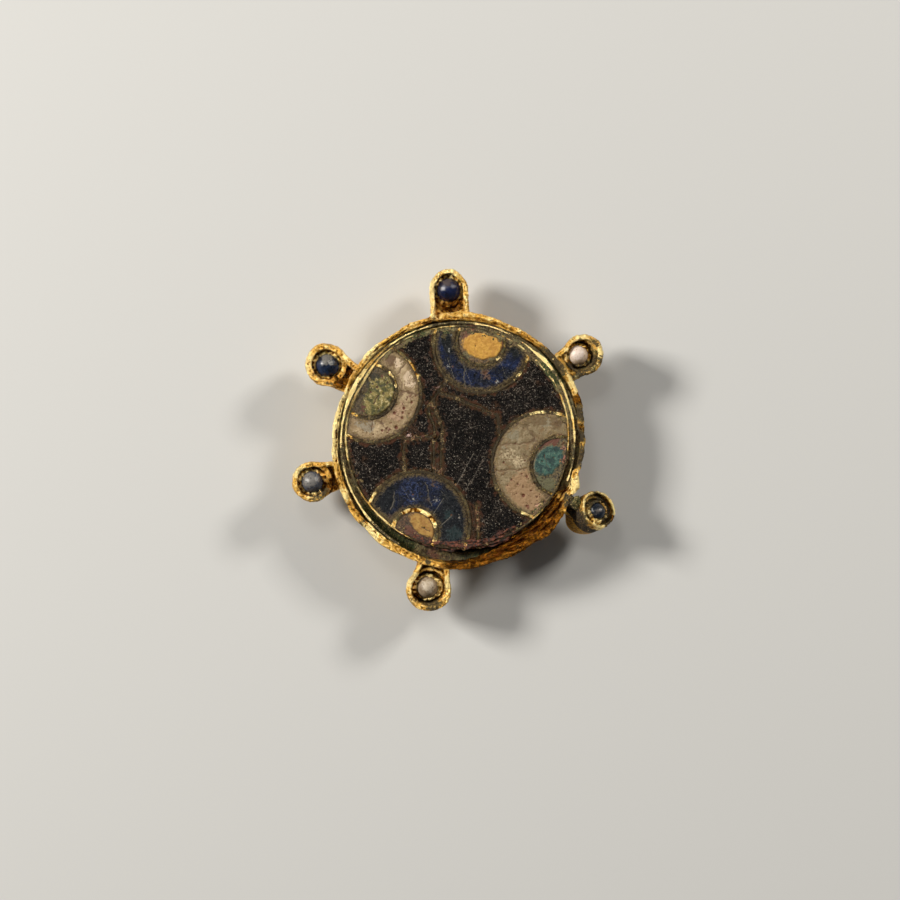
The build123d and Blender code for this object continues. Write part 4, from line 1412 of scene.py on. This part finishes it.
def loop_line(radius, half, length):
    """The loop seen from above: round the far side, and in to the rim on both sides if it has a neck."""
    if half == 0:
        return [polar(angle, radius) for angle in np.linspace(0, 360, 120)]
    turn = min(122, 180 - math.degrees(math.asin(half / radius)))
    start, end = polar(-turn, radius), polar(turn, radius)
    line = [start + ((-length, -half) - start) * t for t in np.linspace(1, 0.05, 16)]
    line += [polar(angle, radius) for angle in np.linspace(-turn, turn, 88)]
    return line + [end + ((-length, half) - end) * t for t in np.linspace(0.05, 1, 16)]


def filled(line, bottom, top):
    """A plate with this outline, closed, from bottom to top."""
    plate = drawn_line(list(line) + [line[0]])
    start_edit(plate)
    bpy.ops.mesh.remove_doubles(threshold=0.001)
    bpy.ops.mesh.edge_face_add()
    bpy.ops.transform.translate(value=(0, 0, bottom))
    bpy.ops.mesh.extrude_region_move(TRANSFORM_OT_translate={"value": (0, 0, top - bottom)})
    finish_edit()
    weld(plate)
    return plate


def cut_off_below(piece):
    """Takes away what would stand below the back plate's underside."""
    start_edit(piece)
    bpy.ops.mesh.bisect(plane_co=(0, 0, 0.001), plane_no=(0, 0, 1), clear_inner=True, use_fill=True)
    finish_edit()


def crimped_collar(name, azimuth):
    """The thin strip that is crimped in over a bead, its lip spread outward in places."""
    bead, bead_x, bead_y, bead_z = bead_places[name]
    middle = bead + 0.09
    collar = drawn_line([polar(angle, middle) + (bead_x, bead_y) for angle in np.linspace(0, 360, 97)])
    rise = min(bead_z + 0.28, 1.9)
    stand_up(collar, [0.3, 0.7, 1.0] + list(np.linspace(1.0, rise, 10)[1:]), 0.16)
    points = points_of(collar)
    reach = points[:, :2] - (bead_x, bead_y)
    away = np.hypot(reach[:, 0], reach[:, 1])
    spread = np.arctan2(reach[:, 1], reach[:, 0])
    high = np.clip((points[:, 2] - bead_z + 0.1) / 0.35, 0, 1)
    low = np.clip((bead_z - 0.05 - points[:, 2]) / 0.6, 0, 1)
    crimp = np.sin(spread * 17 + azimuth) + 0.7 * np.sin(spread * 11 + 2 * azimuth)
    lip = np.zeros(len(points))
    for lip_azimuth, half_reach, push in collar_lips[name]:
        turn = turn_from(np.degrees(spread) + azimuth, lip_azimuth)
        lip = np.maximum(lip, push * np.exp(-(turn / half_reach) ** 4))
    outward = high * (0.04 * crimp - 0.03) + low * 0.12 + (away > middle) * lip
    points[:, :2] += reach / away[:, None] * outward[:, None]
    nicked = np.sin(spread * 3 + azimuth) > 0.5
    points[:, 2] += high * (0.07 * np.sin(spread * 13 + azimuth) - 0.08 * nicked)
    put_points(collar, points)
    ease(collar, 0.035, 2)
    return collar


def bend_loop(loop, name, azimuth, radius, wall):
    """Bends a loop out of true. The top one is pinched at two places, and the left one's neck is worn low."""
    points = points_of(loop)
    turn, away = around(points)
    on_loop = (away > radius - wall - 0.05) & (points[:, 0] > -radius)
    bent = 0.012 * np.sin(np.radians(3 * turn + azimuth))
    bent = bent + 0.010 * np.sin(np.radians(5 * turn + 2 * azimuth)) - 0.022
    if name == "top":
        bent = bent - 0.035 * np.exp(-((np.abs(turn) - 48) / 22) ** 2)
    points[:, :2] *= (1 + on_loop * bent)[:, None]
    if name == "left":
        points[:, 2] *= 1 - 0.4 * np.clip((-points[:, 0] - 1.35) / 0.3, 0, 1) * (points[:, 1] > 0.2)
    put_points(loop, points)


def web_to_rim(azimuth, distance):
    """The low block that joins the leaning collet to the rim."""
    length = distance - web_end
    web = fresh(bpy.ops.mesh.primitive_cube_add, (0, 0, 0.5), (length, 1.5, 1.05), size=1)
    start_edit(web)
    bpy.ops.mesh.subdivide(number_cuts=6)
    bpy.ops.mesh.bevel(offset=0.12, segments=3)
    finish_edit()
    place = Matrix.Translation((distance - length / 2, 0, 0.02))
    web.data.transform(Matrix.Rotation(math.radians(azimuth), 4, "Z") @ place)
    return web


def filling_of(name, outline, bottom, top, radius):
    """The solder and soil in a collet, with a groove round the collar."""
    bead, bead_x, bead_y, _ = bead_places[name]
    filling = filled(outline, bottom, top)
    fuse(filling, grain=0.09)
    points = points_of(filling)
    away = np.hypot(points[:, 0] - bead_x, points[:, 1] - bead_y) - bead
    groove = (0.55 if top > 1.2 else 0.15) * np.clip((0.48 - away) / 0.26, 0, 1)
    side = 0.45 * np.clip((-points[:, 1] - 0.35) / 0.4, 0, 1) * (name == "top")
    side = side + 0.12 * np.clip((-points[:, 0] - radius + 0.1) / 0.2, 0, 1) * (name in ring_ends)
    points[:, 2] += (side - groove) * (points[:, 2] > top - 0.1)
    put_points(filling, points)
    return filling


collet_pieces = []
fill_pieces = []
for name, (azimuth, distance, lean, toward, radius, wall, neck, fill) in collets.items():
    out = collet_frame(azimuth, distance, lean, toward)
    length = distance - neck_end
    wall_middle = radius - wall / 2 - 0.03
    loop = drawn_line(loop_line(wall_middle, neck * radius - wall / 2 if neck else 0, length))
    bottom = -1.1 if lean else 0.02
    stand_up(loop, [bottom, 0.4, 0.8, 1.1, 1.35, 1.52, 1.66, 1.77, 1.85, collet_top], wall - 0.04)
    ease(loop, 0.13, 4)
    inner = loop_line(radius - wall * 0.6, neck * radius - wall * 0.6 if neck else 0, length)
    parts = [loop, filled(inner, bottom, 0.35)]
    if name in ring_ends:
        end_top, end_width = ring_ends[name]
        ring_end = drawn_line([polar(angle, wall_middle) for angle in np.linspace(118, 242, 40)])
        stand_up(ring_end, [bottom, 0.8, 1.4, end_top], end_width)
        parts.append(ring_end)
    parts.append(crimped_collar(name, azimuth))
    loop = joined(parts)
    bend_loop(loop, name, azimuth, radius, wall)
    loop.data.transform(out)
    if lean:
        cut_off_below(loop)
        loop = joined([loop, web_to_rim(azimuth, distance)])
    fuse(loop, grain=0.062)
    apply(loop, "SMOOTH", factor=0.5, iterations=2)
    high = np.clip((points_of(loop)[:, 2] - 0.3) / 0.8, 0, 1)
    beat(loop, [(0.9, 0.08), (0.35, 0.14), (0.16, 0.10)], high)
    collet_pieces.append((name, loop))
    filling = filling_of(name, inner, -0.2 if lean else 0.2, fill, radius)
    filling.data.transform(out)
    if lean:
        cut_off_below(filling)
    beat(filling, [(0.5, 0.18), (0.18, 0.12)])
    fill_pieces.append(filling)

collet_gold = beaten_gold(
    "collet_gold",
    dull_spots=[
        (9.7, 5.6, 0.5, 1.0), (11.1, 6.4, 0.1, 0.9), (-11.0, -3.9, 0.3, 0.9), (-2.0, -12.6, 0.3, 0.8),
        (8.6, 5.6, 0.4, 0.6), (10.6, 7.6, 0.2, 0.5), (-10.0, 4.9, 0.2, 0.5), (9.9, -4.6, 0.5, 0.5),
    ],
    rubbed_and_highlight_spots=[
        (-2.2, 12.0, 0.5, 0.8), (-1.9, 10.9, 0.3, 0.6), (-12.9, -2.3, 0.3, 0.7), (-11.7, 6.2, 0.3, 0.8),
        (-3.9, -10.9, 0.3, 0.9), (8.45, 6.9, 0.15, 0.3), (10.8, -4.0, 0.2, 0.4), (11.1, 7.1, 0.2, 0.4),
        (9.4, 8.2, 0.3, 0.4), (-1.0, -11.2, 0.2, 0.8), (-0.6, 13.3, 0.2, 0.5), (-8.7, 6.8, 0.2, 0.4),
        (-10.27, 6.0, 0.6, 0.9), (-11.5, -3.1, 0.5, 0.9), (-2.45, -11.4, 0.6, 0.9), (-0.8, 11.9, 0.5, 0.9),
    ],
    clean_spots=[(-1.0, 10.7, 0.8, 0.4), (-9.8, 5.2, 0.4, 0.3), (-10.7, -2.6, 0.3, 0.3)],
    brown_spots=[
        (-9.3, 4.6, 0.3, 0.6), (-10.4, -3.6, 0.3, 0.6), (-3.2, -12.0, 0.2, 0.7), (-0.4, 10.8, 0.2, 0.5),
        (8.6, 5.9, 0.3, 0.5),
    ],
    soil_top=0.75, soil_depth=0.5, rubbed=1.95, shelter=sheltered + [
        (*polar(azimuth, distance), radius - 0.6 * wall, 0.1)
        for azimuth, distance, _, _, radius, wall, *_ in collets.values()
    ],
)
leaning_gold = beaten_gold(
    "leaning_gold",
    dull_spots=[
        (10.4, -4.9, 0.3, 0.6), (11.5, -6.2, 0.2, 0.5), (10.9, -4.2, 0.1, 0.5), (9.6, -6.0, 0.3, 0.5),
    ],
    rubbed_and_highlight_spots=[
        (10.0, -5.6, 0.2, 0.4), (11.0, -6.6, 0.3, 0.4), (11.4, -4.0, 0.2, 0.5), (12.2, -5.3, 0.2, 0.5),
        (9.9, -4.8, 0.1, 0.4),
    ],
    brown_spots=[(12.0, -6.2, 0.3, 0.5)],
    # Below 1.85 along its lean, the soil on the collet's side wall is painted near black, as shade.
    soil_top=1.40, soil_depth=0.3, rubbed=1.93, soiled=0.08, dark=1.85, up=(0.503, 0.244, 0.829),
    base=3.626, shelter=[(10.0, -5.7, 4.0, 0.1)],
)
for name, loop in collet_pieces:
    gold = leaning_gold if name == "lower_right" else collet_gold
    hand_over(loop, "collet_" + name, gold, "gold_setting", "setting")
filling_gold = beaten_gold(
    "filling_gold",
    dull_spots=[
        (10.4, 6.2, 0.3, 1.3), (10.5, -5.6, 0.6, 1.0), (-2.2, -12.6, 0.4, 0.6), (-9.4, 5.4, 0.2, 0.5),
    ],
    rubbed_and_highlight_spots=[
        (8.35, 6.85, 0.15, 0.2), (-9.1, 5.3, 0.1, 0.4), (-3.4, -10.6, 0.1, 0.4), (10.1, -6.0, 0.2, 0.3),
        (11.0, -6.5, 0.2, 0.3),
    ],
    clean_spots=[(0.2, 11.3, 0.3, 0.4)],
    brown_spots=[
        (-9.6, 5.2, 1.2, 0.6), (-10.6, -3.0, 1.0, 0.6), (-2.4, -10.9, 1.2, 0.6), (-0.4, 10.8, 0.6, 0.5),
        (9.2, 6.0, 0.4, 0.4),
    ],
    # Below 1.25 the soil in the collet fillings, most of all in the grooves, is painted near black, as shade.
    soil_top=1.05, soil_depth=0.3, rubbed=2.0, soiled=0.08, dark=1.25, shelter=[(0, 0, 14, 0.1)],
)
hand_over(joined(fill_pieces), "collet_filling", filling_gold, "gold_setting", "setting")

# Green-brown lumps of soil have stayed in the corner between the rim and the leaning collet.
lumps = []
for x, y, height, size in (
    # a lump's place and radius
    (8.62, -4.42, 1.92, 0.24), (8.92, -4.72, 1.92, 0.27), (9.18, -4.50, 1.84, 0.27),
    (9.34, -4.80, 1.66, 0.26), (9.08, -4.98, 1.66, 0.28), (8.46, -4.12, 1.84, 0.20),
):
    lumps.append(fresh(bpy.ops.mesh.primitive_ico_sphere_add, (x, y, height), subdivisions=3, radius=size))
corner_soil = joined(lumps)
fuse(corner_soil, grain=0.055)
beat(corner_soil, [(0.35, 0.22), (0.14, 0.14)])
corner_finish = soil_look(
    "corner_soil_look", tone(52, 40, 22), tone(92, 90, 46),
    green_spots=[(9.9, -4.5, 0.5, 0.8)], gold_share=0.02,
)
hand_over(corner_soil, "corner_soil", corner_finish, None)


# Beads and pearls. Blue glass beads, one gone grey-blue, and two small pearls, the lower one weathered to a
# rough grey crust. Each is held by its collar.
def set_bead(name, squash, rough):
    """A worn bead in its collet."""
    radius, *place = bead_places[name]
    piece = fresh(bpy.ops.mesh.primitive_ico_sphere_add, scale=squash, subdivisions=5, radius=radius)
    beat(piece, [(0.9, 0.05 * rough), (0.22, 0.018 * rough)])
    piece.data.transform(collet_frame(*collets[name][:4]) @ Matrix.Translation(place))
    return piece


def bead_finish(name, dark, mid, haze, haze_spots, gloss):
    material, place, flat = start_finish(name)
    cloud = place.grain(1.5, 3)
    fine = place.grain(7.0, 4, 0.65)
    colour = (cloud + fine * 0.3).step(0.45, 0.80).tint(dark, mid)
    colour = (spots(flat, haze_spots) * 0.5 + fine * 0.6).step(0.52, 0.85).tint(colour, haze)
    colour = place.grain(16.0, 2).step(0.66, 0.74).tint(colour, haze)
    colour = fine.step(0.42, 0.34).tint(colour, dark)
    end_finish(material, colour, gloss + fine * 0.15, fine * 0.03 + cloud * 0.02)
    return material


beads = {
    # name: squash, roughness, slot, and its finish as dark, middle and hazed colour, hazed spots and gloss
    "top": (
        (1, 1, 0.98), 0.6, "glass_blue",
        (tone(14, 18, 36), tone(22, 32, 66), tone(74, 66, 66), [(-0.9, 12.4, 0.2, 0.4)], 0.05),
    ),
    "upper_left": (
        (1, 0.98, 0.97), 0.9, "glass_blue",
        (tone(16, 22, 34), tone(28, 44, 72), tone(110, 108, 104), [(-10.3, 6.5, 0.3, 0.5)], 0.08),
    ),
    "left": (
        (0.98, 1, 0.98), 0.8, "glass_grey_blue",
        (tone(50, 52, 60), tone(80, 84, 94), tone(116, 114, 112), [(-11.6, -2.9, 0.4, 0.6)], 0.18),
    ),
    "bottom": (
        (1, 0.98, 0.97), 2.2, "pearl",
        (tone(104, 84, 62), tone(156, 140, 118), tone(180, 166, 146), [(-2.4, -11.2, 0.3, 0.5)], 0.40),
    ),
    "lower_right": (
        (1, 1, 0.97), 1.0, "glass_blue",
        (tone(14, 18, 24), tone(24, 34, 48), tone(92, 86, 84), [(10.9, -5.3, 0.1, 0.4)], 0.10),
    ),
    "upper_right": (
        (1, 1, 0.99), 0.6, "pearl",
        (tone(180, 156, 130), tone(208, 190, 172), tone(222, 206, 196), [(9.2, 7.0, 0.4, 0.5)], 0.10),
    ),
}
for name, (squash, rough, slot, paint) in beads.items():
    finish = bead_finish("bead_finish_" + name, *paint)
    hand_over(set_bead(name, squash, rough), "bead_" + name + "_worn", finish, slot, "bead_" + name)


# Pin fitting behind. A plain drawn pin between a rolled hinge end and a hooked catch, its edges filed
# round. The back isn't seen in the photograph, so it is kept plain.
pin = from_cad("pin_fitting", 0.002)
ease(pin, 0.06, 3, 45)
pin_gold = beaten_gold(
    "pin_gold", dull_spots=[(5.4, 0.9, 0.4, 0.6), (-5.6, 1.0, 0.3, 0.6)], rubbed_and_highlight_spots=[(0, 0, 2.5, 2.0)],
    clean_spots=[(0, 0, 4, 4)], brown_spots=[(5.6, 0, 0.4, 0.8)], soil_top=-2.6, soil_depth=0.3, rubbed=0,
)
hand_over(pin, "pin_and_catch", pin_gold, "gold_pin", "pin_fitting")

low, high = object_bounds()
